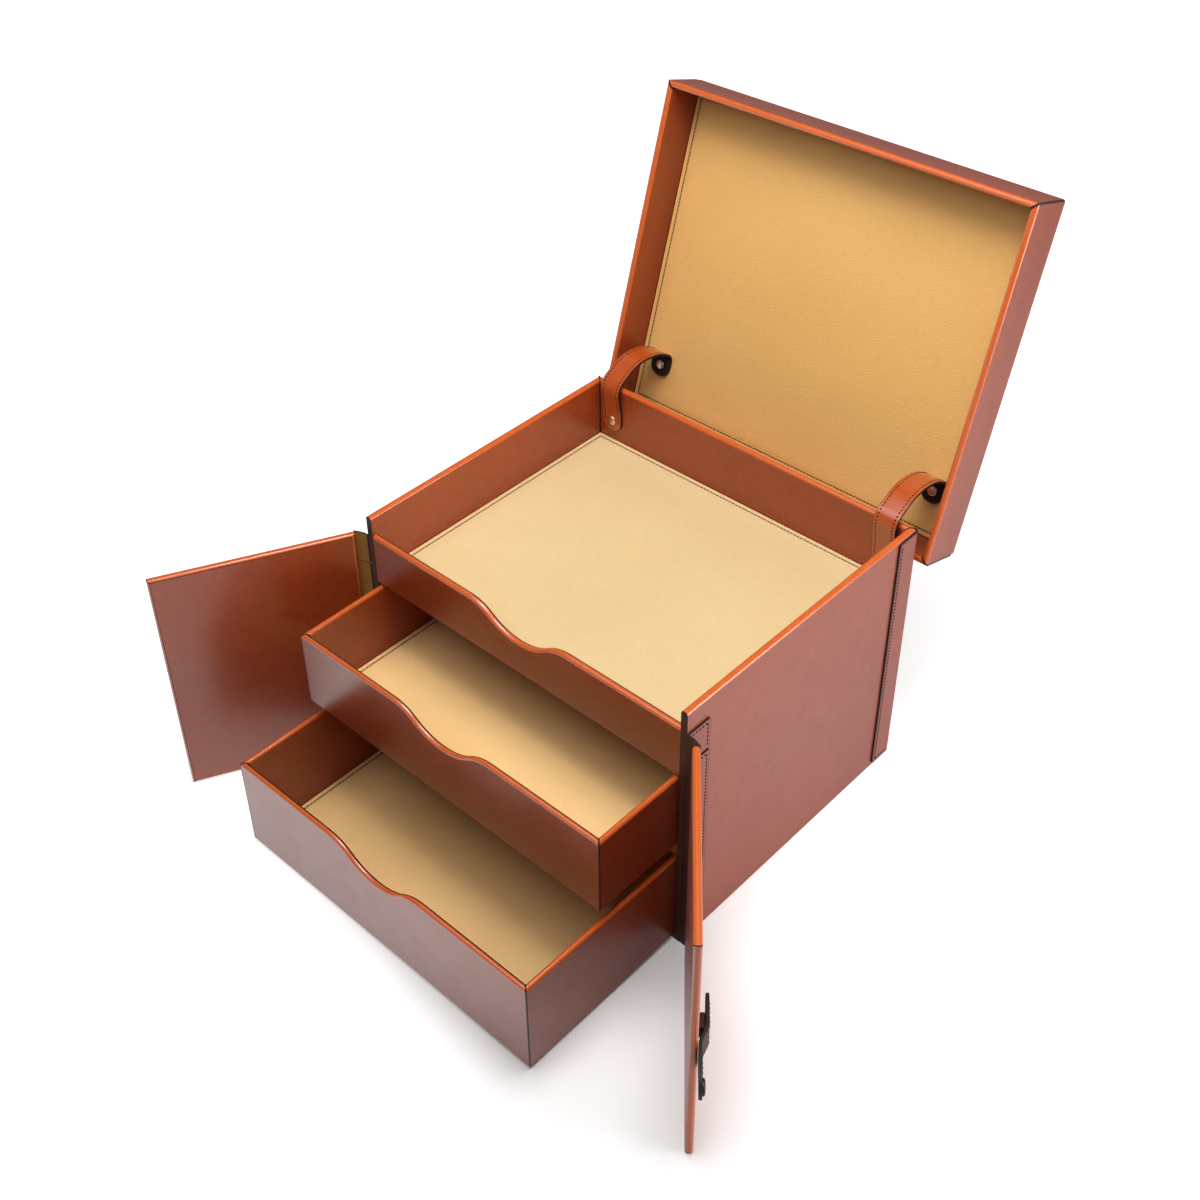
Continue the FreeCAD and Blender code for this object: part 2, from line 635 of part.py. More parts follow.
# Stay straps: riveted to the rear wall, arched over its top and riveted to the lid.
stay_seat = lining_under - d.stay_seat_gap - d.stay_thick / 2
stay_y = rear_inner - d.stay_thick / 2
stay_foot = d.case_height - d.stay_foot_drop
landing = lid.multVec(Vector(0, -d.stay_land, stay_seat))
tail = lid.multVec(Vector(0, -d.stay_end, stay_seat))
stay_bends = (d.stay_lap_bend, d.stay_edge_bend, d.stay_crown_bend, d.stay_crown_bend, d.stay_land_bend)
case_rivets, lid_rivets = [], []
for side, sign in (("left", -1), ("right", 1)):
    x = sign * (inner_half - d.stay_from_wall)
    route = [
        Vector(x, stay_y, stay_foot),
        Vector(x, stay_y, stay_foot + d.stay_lap),
        Vector(x, stay_y - d.stay_bulge, d.case_height + d.stay_bend_lift),
    ]
    for reach_share, rise_share in STAY_CROWN_SHARES:
        reach = stay_y + reach_share * (landing.y - stay_y)
        route.append(Vector(x, reach, d.case_height + rise_share * d.stay_rise))
    route += [Vector(x, landing.y, landing.z), Vector(x, tail.y, tail.z)]
    strap = strap_solid(route, stay_bends, Vector(1, 0, 0), d.stay_width, d.stay_thick)
    hole = d.rivet_shank_radius + d.rivet_hole_clear
    foot = Vector(x, stay_y, stay_foot + d.rivet_inset)
    strap = bored(strap, foot, Vector(0, 1, 0), hole, d.stay_thick)
    pinned = Vector(x, -d.stay_end - d.rivet_inset, stay_seat)
    lid_normal = lid.Rotation.multVec(Vector(0, 0, 1))
    strap = bored(strap, lid.multVec(pinned), lid_normal, hole, d.stay_thick)
    stay = doc.addObject("Part::Feature", f"{side}_stay")
    stay.Shape = strap
    keep(stay, f"{side}_stay", Placement())
    outward = Rotation(Vector(1, 0, 0), 90)
    case_rivets.append(
        headed_pin(
            f"{side}_case_rivet",
            at(case, x, foot.y - d.stay_thick / 2, foot.z, outward),
            "rivet_head_radius",
            "rivet_head_height",
            "rivet_shank_radius",
            "stay_thick",
        )
    )
    downward = Rotation(Vector(1, 0, 0), 180)
    head_z = stay_seat - d.stay_thick / 2 - d.stay_seat_gap
    lid_rivets.append(
        headed_pin(
            f"{side}_lid_rivet",
            at(lid, x, pinned.y, head_z, downward),
            "rivet_head_radius",
            "rivet_head_height",
            "rivet_shank_radius",
            "stay_thick + 2 * stay_seat_gap",
        )
    )
grouped("stay_case_rivets", case_rivets)
grouped("stay_lid_rivets", lid_rivets)

# Closure: a strap over a keeper block on the right door, snapped on a stud of the left door.
right, left = doors["right"], doors["left"]
closure_level = d.case_height * d.closure_level_share
edge_x = -d.door_hinge_out - door_long
raised = door_face - d.keeper_thick - d.closure_thick / 2
laid = door_face - d.closure_over_gap - d.closure_thick / 2
step_x = edge_x + d.closure_step_start
strap_route = [
    Vector(edge_x + d.closure_tail, raised, closure_level),
    Vector(step_x, raised, closure_level),
    Vector(step_x - d.closure_step_run, laid, closure_level),
    Vector(edge_x - d.closure_reach, laid, closure_level),
]
closure_bends = (d.closure_bend, d.closure_bend)
closure = strap_solid(strap_route, closure_bends, Vector(0, 0, 1), d.closure_width, d.closure_thick)
snap_x = edge_x - d.door_mid_gap - d.stud_inset
snap = Vector(snap_x, laid, closure_level)
closure = bored(closure, snap, Vector(0, 1, 0), d.stud_radius + d.stud_clear, d.closure_thick)
closure_strap = doc.addObject("Part::Feature", "closure_strap")
closure_strap.Shape = closure
keep(closure_strap, "closure_strap", right)
board(
    "closure_keeper",
    at(right, edge_x + d.keeper_inset, door_face - d.keeper_thick, closure_level - d.keeper_height / 2),
    ("keeper_length", "keeper_thick", "keeper_height"),
    lambda edge, box: runs_along(edge, 2) and near(edge.CenterOfMass.y, box.YMin),
    "keeper_round",
)
cap = headed_pin(
    "closure_snap_cap",
    at(right, snap_x, laid - d.closure_thick / 2, closure_level, Rotation(Vector(1, 0, 0), 90)),
    "snap_cap_radius",
    "snap_cap_tall",
    "stud_radius",
    "seat_depth",
    domed=False,
)
keep(cap, "closure_snap_cap", cap.Placement)
stud_x = d.door_hinge_out + door_long - d.stud_inset
stud = headed_pin(
    "closure_stud",
    at(left, stud_x, door_face - d.seat_depth, closure_level, Rotation(Vector(1, 0, 0), 90)),
    "stud_radius",
    "stud_tall - seat_depth",
    "stud_radius - seat_depth",
    "seat_depth",
    domed=False,
)
keep(stud, "closure_stud", stud.Placement)

doc.recompute()
faults = [item.Label for item in doc.Objects if {"Invalid", "Error"} & set(item.State)]
for item in pieces:
    shape = item.Shape
    if shape.isNull() or not shape.isValid() or not shape.Solids:
        faults.append(item.Label)
if faults:
    raise RuntimeError(f"failed objects: {sorted(set(faults))}")

os.makedirs("parts", exist_ok=True)
for item in pieces:
    item.Shape.exportStep(f"parts/{item.Label}.step")
print(len(pieces), "sub-parts written")
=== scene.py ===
"""Visual model of an open leather stationery case: a lidded tray over two drawers behind two doors."""

import json
import logging
import math
from dataclasses import dataclass
from enum import Enum, IntEnum
from typing import Callable, Iterable, Sequence

import bmesh
import bpy
from mathutils import Matrix, Quaternion, Vector

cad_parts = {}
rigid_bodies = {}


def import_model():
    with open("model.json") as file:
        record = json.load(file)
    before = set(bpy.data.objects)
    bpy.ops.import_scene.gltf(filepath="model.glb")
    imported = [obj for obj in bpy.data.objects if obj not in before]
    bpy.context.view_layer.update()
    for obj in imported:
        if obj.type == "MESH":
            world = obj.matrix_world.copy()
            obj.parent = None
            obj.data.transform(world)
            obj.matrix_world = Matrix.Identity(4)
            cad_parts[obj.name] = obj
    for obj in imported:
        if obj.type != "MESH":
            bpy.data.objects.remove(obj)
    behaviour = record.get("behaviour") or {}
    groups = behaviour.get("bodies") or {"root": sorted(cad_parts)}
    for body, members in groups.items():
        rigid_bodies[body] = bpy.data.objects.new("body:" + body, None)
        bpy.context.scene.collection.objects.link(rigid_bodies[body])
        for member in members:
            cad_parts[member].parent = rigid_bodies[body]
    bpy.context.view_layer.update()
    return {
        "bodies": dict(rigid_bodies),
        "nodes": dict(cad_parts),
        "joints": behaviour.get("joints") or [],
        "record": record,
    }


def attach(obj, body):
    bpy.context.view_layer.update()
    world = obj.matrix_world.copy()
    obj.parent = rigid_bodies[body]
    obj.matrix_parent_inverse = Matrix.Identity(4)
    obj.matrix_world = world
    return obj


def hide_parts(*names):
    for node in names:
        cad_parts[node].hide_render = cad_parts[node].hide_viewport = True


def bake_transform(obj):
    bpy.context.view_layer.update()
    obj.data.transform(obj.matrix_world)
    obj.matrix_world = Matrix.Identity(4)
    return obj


log = logging.getLogger("stationery_case")

Colour = tuple[float, float, float]
Point = tuple[float, float, float]
Pair = tuple[float, float]
Face = bmesh.types.BMFace
Socket = bpy.types.NodeSocket
Material = bpy.types.Material
Piece = bpy.types.Object
FaceTest = Callable[[Face], bool]
MILLIMETRE = 0.001
NEAR = 0.1  # Millimetres within which two places count as one.
RIM_FOOT = 0.25  # Share of a roll's glow where it runs out into a flat face.
FLAT_JOINT = 0.5  # Radians below which two faces run on without an edge.
FACING = 0.99  # Cosine above which a face looks straight along an axis.
BOLD_THREAD = 0.75  # Half thickness in millimetres of the thread on the outer seams.
THREAD_RISE = 0.85  # Height of a stitch by its half thickness.
THREAD_SINK = 0.1  # Depth of its middle under the surface, by the same.


class Body(str, Enum):
    """Moving bodies of the case."""

    CASE = "case"
    LID = "lid"
    LEFT_DOOR = "left_door"
    RIGHT_DOOR = "right_door"
    MIDDLE_DRAWER = "middle_drawer"
    LOWER_DRAWER = "lower_drawer"


class Side(IntEnum):
    """Left or right of the case, as the sign of X."""

    LEFT = -1
    RIGHT = 1

    @property
    def word(self) -> str:
        """Name used for pieces on this side."""
        return self.name.lower()


class Lining(Enum):
    """Places that are lined."""

    TRAY = "tray"
    DRAWER = "drawer"
    LID = "lid"


class Skin(IntEnum):
    """Material slots that every leather piece carries, in order."""

    HIDE = 0
    INK = 1
    THREAD = 2
    SHADE = 3
    RIM = 4


@dataclass(frozen=True)
class CaseSizes:
    """Sizes of the case in millimetres, as in the solids."""

    width: float = 330.0
    depth: float = 273.0
    height: float = 244.0
    wall: float = 6.0
    rail_base: float = 179.5
    rail_top: float = 226.0
    tray_level: float = 188.0
    lining_margin: float = 0.6
    scoop_width: float = 104.0
    scoop_depth: float = 17.0
    scoop_shoulder_share: float = 0.45
    strip: float = 1.4
    stay_reach: float = 143.0

    @property
    def half_width(self) -> float:
        """Half of the case's width."""
        return self.width / 2

    @property
    def half_depth(self) -> float:
        """Half of the case's depth."""
        return self.depth / 2

    @property
    def inner_half(self) -> float:
        """Half of the width between the side walls."""
        return self.half_width - self.wall


SIZES = CaseSizes()


class NodeSketch:
    """A material's node tree while it is being drawn."""

    def __init__(self, name: str) -> None:
        """Start a material with a plain principled surface.

        Args:
            name: Name of the material.
        """
        self.material = bpy.data.materials.new(name)
        self.material.use_nodes = True
        self.tree = self.material.node_tree
        self.surface = next(n for n in self.tree.nodes if n.type == "BSDF_PRINCIPLED")
        self.place = self.add("ShaderNodeTexCoord").outputs["Object"]

    def add(self, kind: str, **values: object) -> bpy.types.Node:
        """Add a node and set its inputs or properties by name.

        Args:
            kind: Blender's type name of the node.
            values: Values of properties or inputs.

        Returns:
            The new node.
        """
        node = self.tree.nodes.new(kind)
        for key, value in values.items():
            if hasattr(node, key):
                setattr(node, key, value)
            else:
                node.inputs[key].default_value = value
        return node

    def join(self, source: Socket, target: Socket) -> None:
        """Link two sockets."""
        self.tree.links.new(source, target)

    def feed(self, name: str, source: Socket) -> None:
        """Link a socket to one of the surface's inputs."""
        self.join(source, self.surface.inputs[name])

    def noise(self, scale: float, detail: float = 3.0, rough: float = 0.5) -> Socket:
        """Noise over the object's own space.

        Args:
            scale: Features per metre.
            detail: Octaves of the noise.
            rough: Weight of each next octave.

        Returns:
            The noise's value socket.
        """
        node = self.add("ShaderNodeTexNoise", Scale=scale, Detail=detail, Roughness=rough)
        self.join(self.place, node.inputs["Vector"])
        return node.outputs["Fac"]

    def spread(self, source: Socket, low: float, high: float, start: float = 0.3,
               end: float = 0.7) -> Socket:
        """Stretch a value to a new range.

        Args:
            source: Value socket.
            low: Result at start.
            high: Result at end.
            start: Source value that gives low.
            end: Source value that gives high.

        Returns:
            The stretched value socket.
        """
        node = self.add("ShaderNodeMapRange")
        for key, value in (("From Min", start), ("From Max", end), ("To Min", low), ("To Max", high)):
            node.inputs[key].default_value = value
        self.join(source, node.inputs["Value"])
        return node.outputs["Result"]

    def mix(self, share: Socket, low: object, high: object) -> Socket:
        """Mix two colours.

        Args:
            share: Value socket, 0 for low and 1 for high.
            low: Colour or colour socket.
            high: Colour or colour socket.

        Returns:
            The mixed colour socket.
        """
        node = self.add("ShaderNodeMix", data_type="RGBA")
        sockets = [s for s in node.inputs if s.enabled]
        self.join(share, sockets[0])
        for socket, colour in zip(sockets[1:], (low, high)):
            if isinstance(colour, Socket):
                self.join(colour, socket)
            else:
                socket.default_value = (*colour, 1.0)
        return next(s for s in node.outputs if s.enabled)

    def total(self, first: Socket, second: Socket, share: float) -> Socket:
        """Add a share of a second value to a first.

        Args:
            first: Value socket that counts in full.
            second: Value socket that counts in part.
            share: Share of the second.

        Returns:
            The sum's socket.
        """
        node = self.add("ShaderNodeMath", operation="MULTIPLY_ADD")
        self.join(second, node.inputs[0])
        node.inputs[1].default_value = share
        self.join(first, node.inputs[2])
        return node.outputs[0]

    def relief(self, height: Socket, strength: float, depth: float) -> None:
        """Drive the surface's normal by a height.

        Args:
            height: Height socket, 0 to 1.
            strength: Share of the effect.
            depth: Depth of the relief in metres.
        """
        bump = self.add("ShaderNodeBump", Strength=strength, Distance=depth)
        self.join(height, bump.inputs["Height"])
        self.feed("Normal", bump.outputs["Normal"])

    def set(self, **values: object) -> None:
        """Set plain values on the surface's own sockets."""
        for key, value in values.items():
            self.surface.inputs[key.replace("_", " ")].default_value = value


@dataclass(frozen=True)
class HideFinish:
    """Smooth dyed calf leather, with a painted highlight where it is rolled over an edge."""

    name: str
    deep: Colour
    base: Colour
    # Colour of the painted highlight on rolled edges.
    rim: Colour
    roughness: float = 0.34
    specular: float = 0.5
    coat: float = 0.35
    sheen: float = 0.02
    cloud_scale: float = 9.0
    streak_scale: float = 70.0
    highlight_noise_scale: float = 160.0
    gloss_scale: float = 38.0
    pore_scale: float = 1500.0
    crease_scale: float = 260.0
    relief: float = 0.0003

    def material(self) -> Material:
        """Draw the leather.

        Returns:
            The material.
        """
        draw = NodeSketch(self.name)
        cloud = draw.noise(self.cloud_scale, 4.0, 0.55)
        streak = draw.noise(self.streak_scale, 3.0, 0.6)
        patches = draw.spread(draw.total(cloud, streak, 0.25), 0.0, 1.0, 0.42, 0.82)
        colour = draw.mix(patches, self.deep, self.base)
        rim = draw.add("ShaderNodeAttribute", attribute_name="rim").outputs["Fac"]
        # Painted highlight: rolled edges blend toward the rim colour, broken up by noise.
        worn = draw.spread(draw.total(rim, draw.noise(self.highlight_noise_scale), 0.35), 0.0, 1.0, 0.25, 1.25)
        draw.feed("Base Color", draw.mix(worn, colour, self.rim))
        pores = draw.add("ShaderNodeTexVoronoi", Scale=self.pore_scale, feature="SMOOTH_F1")
        draw.join(draw.place, pores.inputs["Vector"])
        height = draw.total(pores.outputs["Distance"], draw.noise(self.crease_scale, 4.0), 0.9)
        draw.relief(height, 0.12, self.relief)
        patchy = draw.noise(self.gloss_scale, 4.0)
        draw.feed("Roughness", draw.spread(patchy, self.roughness - 0.03, self.roughness + 0.04))
        draw.set(Specular_IOR_Level=self.specular, Coat_Weight=self.coat, Coat_Roughness=0.22,
                 Sheen_Weight=self.sheen, Sheen_Roughness=0.45)
        return draw.material


@dataclass(frozen=True)
class LiningFinish:
    """Pale fine-grained lining leather."""

    place: Lining
    base: Colour
    deep: Colour
    cell_scale: float = 620.0
    cloud_scale: float = 7.0
    fleck_scale: float = 240.0
    crease_scale: float = 180.0
    gloss_scale: float = 55.0
    gloss: Pair = (0.46, 0.6)
    relief: float = 0.00035
    crease_tone: float = 0.8

    def material(self) -> Material:
        """Draw the lining.

        Returns:
            The material.
        """
        draw = NodeSketch(f"{self.place.value}_lining_hide")
        mottle = draw.total(draw.noise(self.cloud_scale, 4.0), draw.noise(self.fleck_scale), 0.4)
        cloud = draw.spread(mottle, 0.0, 1.0, 0.45, 0.9)
        cells = draw.add("ShaderNodeTexVoronoi", Scale=self.cell_scale, feature="DISTANCE_TO_EDGE")
        draw.join(draw.place, cells.inputs["Vector"])
        crease = draw.spread(cells.outputs["Distance"], 0.0, 1.0, 0.0, 0.22)
        tone = draw.mix(cloud, self.deep, self.base)
        # Painted shade darkens the grain's creases.
        shade = tuple(self.crease_tone * c for c in self.deep)
        crease_shade_share = draw.spread(crease, 0.72, 1.0, 0.0, 1.0)
        draw.feed("Base Color", draw.mix(crease_shade_share, shade, tone))
        draw.relief(draw.total(crease, draw.noise(self.crease_scale), 1.2), 0.45, self.relief)
        draw.feed("Roughness", draw.spread(draw.noise(self.gloss_scale), *self.gloss))
        draw.set(Specular_IOR_Level=0.5, Sheen_Weight=0.1, Sheen_Roughness=0.5)
        return draw.material


@dataclass(frozen=True)
class PlainFinish:
    """One colour with a fine unevenness: edge paint, thread, suede or metal."""

    name: str
    base: Colour
    light: Colour
    roughness: float = 0.42
    scale: float = 420.0
    specular: float = 0.3
    metallic: float = 0.0
    fine: float = 0.6
    dulling: float = 0.2
    relief: Pair = (0.3, 0.0003)

    @classmethod
    def metal(cls, name: str, tone: Colour, roughness: float) -> "PlainFinish":
        """Polished metal with faint scratches.

        Args:
            name: Name of the material.
            tone: Its colour where it isn't worn.
            roughness: Its least roughness.

        Returns:
            The finish.
        """
        worn = tuple(0.8 * c for c in tone)
        return cls(name, worn, tone, roughness, scale=900.0, specular=0.5, metallic=1.0, fine=0.7,
                   dulling=0.14, relief=(0.08, 0.0002))

    def material(self) -> Material:
        """Draw the surface.

        Returns:
            The material.
        """
        draw = NodeSketch(self.name)
        spots = draw.noise(self.scale, 4.0, self.fine)
        draw.feed("Base Color", draw.mix(draw.spread(spots, 0.0, 1.0), self.base, self.light))
        draw.relief(spots, *self.relief)
        draw.feed("Roughness", draw.spread(spots, self.roughness, self.roughness + self.dulling))
        draw.set(Specular_IOR_Level=self.specular, Metallic=self.metallic)
        return draw.material


class Palette:
    """Every finish of the case, drawn once."""

    def __init__(self) -> None:
        """Draw the materials."""
        # Each set is deep, base and rim; the rim tone is the painted highlight on rolled edges.
        tones = ((0.238, 0.0285, 0.0042), (0.28, 0.036, 0.0052), (0.6, 0.108, 0.015))
        dark_tones = ((0.05, 0.014, 0.007), (0.075, 0.02, 0.009), (0.12, 0.04, 0.018))
        self.cognac = HideFinish("cognac_hide", *tones).material()
        self.polished = HideFinish("polished_rim", *tones, roughness=0.2, specular=0.6, coat=0.5).material()
        self.umber = HideFinish("umber_hide", *dark_tones, roughness=0.5, specular=0.2, coat=0.0).material()
        self.ink = PlainFinish("edge_ink", (0.006, 0.005, 0.005), (0.02, 0.016, 0.014)).material()
        self.dark_thread = PlainFinish("dark_thread", (0.008, 0.005, 0.004), (0.024, 0.014, 0.009),
                                       roughness=0.75, specular=0.2).material()
        self.pale_thread = PlainFinish("pale_thread", (0.05, 0.026, 0.013), (0.11, 0.06, 0.03),
                                       roughness=0.7).material()
        self.suede = PlainFinish("raw_suede", (0.19, 0.085, 0.014), (0.46, 0.24, 0.055),
                                 roughness=0.8, scale=1300.0).material()
        self.linings = {
            finish.place: finish.material() for finish in (
                LiningFinish(Lining.TRAY, (0.77, 0.58, 0.3), (0.73, 0.535, 0.262), 800.0),
                LiningFinish(Lining.DRAWER, (0.93, 0.6, 0.255), (0.88, 0.545, 0.215)),
                LiningFinish(Lining.LID, (0.82, 0.475, 0.15), (0.76, 0.425, 0.125), 560.0))
        }
        # Painted shade for the lining's seam groove.
        self.seam = PlainFinish("lining_seam_painted_shade", (0.3, 0.16, 0.05), (0.5, 0.29, 0.1), 0.6).material()
        self.metal = PlainFinish.metal("pale_metal", (0.9, 0.78, 0.56), 0.24).material()
        self.dark_metal = PlainFinish.metal("blackened_metal", (0.06, 0.045, 0.04), 0.3).material()

    def hide(self) -> list[Material]:
        """Slots of a cognac leather piece."""
        return [self.cognac, self.ink, self.dark_thread, self.umber, self.polished]

    def strap(self) -> list[Material]:
        """Slots of a dark strap with pale stitching."""
        return [self.umber, self.ink, self.pale_thread, self.umber, self.umber]

    def span(self, raw: bool = True) -> list[Material]:
        """Slots of a hinge's free span, raw suede on its inner side, else dark umber there as painted shade.
        """
        return [self.cognac, self.ink, self.dark_thread, self.suede if raw else self.umber, self.polished]

    def lined(self, place: Lining) -> list[Material]:
        """Slots of a lining panel."""
        face = self.linings[place]
        return [face, face, self.dark_thread, self.seam, face]


class Shape:
    """A mesh under work, in millimetres of its own frame."""

    def __init__(self) -> None:
        """Start an empty mesh with a rim layer."""
        self.bm = bmesh.new()
        self.rim = self.bm.verts.layers.float.new("rim")

    @classmethod
    def box(cls, low: Sequence[float], high: Sequence[float]) -> "Shape":
        """Box between two corners.

        Args:
            low: Lowest corner.
            high: Highest corner.

        Returns:
            The new shape.
        """
        shape = cls()
        low_corner, high_corner = Vector(low), Vector(high)
        size = high_corner - low_corner
        matrix = Matrix.Translation((low_corner + high_corner) / 2) @ Matrix.Diagonal((*size, 1.0))
        bmesh.ops.create_cube(shape.bm, size=1.0, matrix=matrix)
        return shape

    @classmethod
    def board(cls, low: Sequence[float], high: Sequence[float], across: int, roll: float) -> "Shape":
        """Upright board with its two top edges rolled over.

        Args:
            low: Lowest corner.
            high: Highest corner.
            across: Axis of its thickness.
            roll: Radius of the roll.

        Returns:
            The new shape.
        """
        shape = cls.box(low, high)
        shape.roll(shape.edges(lambda a, b: min(a.z, b.z) > 1 and abs(a[across] - b[across]) < NEAR), roll)
        return shape

    @property
    def everything(self) -> list:
        """All vertices, edges and faces."""
        return self.bm.verts[:] + self.bm.edges[:] + self.bm.faces[:]

    def edges(self, test: Callable[[Vector, Vector], bool]) -> list[bmesh.types.BMEdge]:
        """Edges whose two ends pass a test."""
        return [e for e in self.bm.edges if test(e.verts[0].co, e.verts[1].co)]

    def roll(self, edges: Iterable[bmesh.types.BMEdge], radius: float, segments: int = 6,
             glow: float = 1.0) -> None:
        """Round edges over and mark their crest for the painted rim highlight.

        Args:
            edges: Edges to round.
            radius: Radius of the round.
            segments: Faces across the round.
            glow: Share of the painted highlight at the crest.
        """
        made = bmesh.ops.bevel(self.bm, geom=list(edges), offset=radius, offset_type="OFFSET",
                               segments=segments, profile=0.5, affect="EDGES", material=-1,
                               clamp_overlap=True)
        fresh = set(made["faces"])
        self.bm.normal_update()
        for face in fresh:
            face.material_index = int(Skin.RIM)
        for vert in {v for f in fresh for v in f.verts}:
            vert[self.rim] = max(vert[self.rim], glow)
        for edge in {e for f in fresh for e in f.edges}:
            flats = [f for f in edge.link_faces if f not in fresh and not self.narrow(f)]
            if flats and edge.calc_face_angle(0.0) < FLAT_JOINT:
                for vert in edge.verts:
                    vert[self.rim] = RIM_FOOT * glow

    @staticmethod
    def narrow(face: Face, width: float = 1.6) -> bool:
        """Whether a face is only a thin strip."""
        return face.calc_area() / max(e.calc_length() for e in face.edges) < width

    def cut(self, point: Sequence[float], normal: Sequence[float]) -> None:
        """Cut away what lies beyond a plane and close the cut.

        Args:
            point: Point on the plane.
            normal: Direction of the part that goes.
        """
        bmesh.ops.bisect_plane(self.bm, geom=self.everything, dist=1e-5, plane_co=point, plane_no=normal,
                               clear_outer=True)
        open_edges = [e for e in self.bm.edges if e.is_boundary]
        bmesh.ops.holes_fill(self.bm, edges=open_edges, sides=0)

    def slice(self, point: Sequence[float], normal: Sequence[float]) -> None:
        """Add a loop of edges along a plane."""
        bmesh.ops.bisect_plane(self.bm, geom=self.everything, dist=1e-5, plane_co=point, plane_no=normal)

    def paint(self, slot: Skin, test: FaceTest) -> None:
        """Give a material slot to the faces that pass a test.

        Args:
            slot: The slot.
            test: Whether a face gets it.
        """
        self.bm.normal_update()
        for face in self.bm.faces:
            if test(face):
                face.material_index = int(slot)

    def mitre(self, point: Sequence[float], normal: Sequence[float], line: float = 0.65) -> None:
        """Cut an end to a mitre with an inked line along it.

        Args:
            point: Point on the mitre plane.
            normal: Direction of the part that goes.
            line: Width of the inked line.
        """
        self.cut(point, normal)
        away = Vector(normal).normalized()
        start = Vector(point)
        self.slice(start - away * line, away)
        self.paint(Skin.INK, lambda f: (f.calc_center_median() - start).dot(away) > -line)

    def stitch(self, start: Vector, end: Vector, normal: Vector, pitch: float = 3.4, share: float = 0.64,
               radius: float = 0.6, slant: float = 6.0) -> None:
        """Sew a straight row of stitches.

        Args:
            start: First point of the row.
            end: Last point of the row.
            normal: Outward normal of the sewn surface.
            pitch: Distance from stitch to stitch.
            share: Share of the pitch that a stitch covers.
            radius: Half thickness of the thread.
            slant: Slant of each stitch against the row, in degrees.
        """
        run = end - start
        count = max(1, round(run.length / pitch))
        up = normal.normalized()
        ahead = Quaternion(up, math.radians(slant)) @ run.normalized()
        across = up.cross(ahead)
        half = run.length / count * share / 2
        axes = Matrix((across * radius, up * radius * THREAD_RISE, ahead * half)).transposed().to_4x4()
        row = bmesh.new()
        for index in range(count):
            middle = start + run * ((index + 0.5) / count) - up * (radius * THREAD_SINK)
            bmesh.ops.create_uvsphere(row, u_segments=6, v_segments=4, radius=1.0,
                                      matrix=Matrix.Translation(middle) @ axes)
        for face in row.faces:
            face.material_index = int(Skin.THREAD)
        self.join(row)

    def join(self, other: bmesh.types.BMesh) -> None:
        """Take in another mesh and free it.

        Args:
            other: The other mesh.
        """
        mesh = bpy.data.meshes.new("taken_in")
        other.to_mesh(mesh)
        other.free()
        self.bm.from_mesh(mesh)
        bpy.data.meshes.remove(mesh)

    def finish(self, name: str, materials: Sequence[Material], frame: Matrix,
               sharp: float = 40.0) -> Piece:
        """Turn the mesh into an object of the scene, in metres of the shared frame.

        Args:
            name: Name of the piece.
            materials: Materials in the order of the slots.
            frame: Placement in millimetres.
            sharp: Angle in degrees above which an edge stays sharp.

        Returns:
            The new object.
        """
        self.bm.transform(Matrix.Scale(MILLIMETRE, 4) @ frame)
        self.bm.normal_update()
        limit = math.radians(sharp)
        for face in self.bm.faces:
            face.smooth = True
        for edge in self.bm.edges:
            edge.smooth = not edge.is_manifold or edge.calc_face_angle() < limit
        mesh = bpy.data.meshes.new(name)
        self.bm.to_mesh(mesh)
        self.bm.free()
        for material in materials:
            mesh.materials.append(material)
        piece = bpy.data.objects.new(name, mesh)
        bpy.context.scene.collection.objects.link(piece)
        even = piece.modifiers.new("even_normals", "WEIGHTED_NORMAL")
        even.keep_sharp = True
        log.info("%s: %d faces", name, len(mesh.polygons))
        return piece


@dataclass
class Assembly:
    """Pieces of the case that are made together."""

    palette: Palette

    def settle(self, shape: Shape, node: str, frame: Matrix, body: Body, slot: str = "leather",
               name: str = "", skins: Sequence[Material] = ()) -> None:
        """Finish a shape, let it ride on a body and stand for a solid.

        Args:
            shape: The mesh.
            node: Solid that it replaces.
            frame: Placement in millimetres.
            body: Body it moves with.
            slot: Material slot of the record; not used.
            name: Name of the piece, where it isn't the solid's name with _hide.
            skins: Materials in the order of the slots, where they aren't the cognac hide's.
        """
        piece = shape.finish(name or f"{node}_hide", skins or self.palette.hide(), frame)
        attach(piece, body.value)
        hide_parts(node)

    def line(self, shape: Shape, place: str, finish: Lining, frame: Matrix, body: Body) -> None:
        """Finish a sewn lining in the same way."""
        skins = self.palette.lined(finish)
        self.settle(shape, f"{place}_lining", frame, body, "lining", f"{place}_sewn_lining", skins)

    def tie(self, shape: Shape, node: str, name: str, skins: Sequence[Material], body: Body,
            start: Vector, end: Vector) -> None:
        """Finish leather that spans between the case and a moving body; it stays fixed where it is made.

        Args:
            shape: The mesh, in millimetres of the shared frame.
            node: Solid that it replaces.
            name: Name of the piece.
            skins: Materials in the order of the slots.
            body: Body at its far end; not used.
            start: Point up to which it stays with the case; not used.
            end: Point from which it goes with the body; not used.
        """
        piece = shape.finish(name, skins, Matrix.Identity(4))
        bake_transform(piece)
        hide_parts(node)


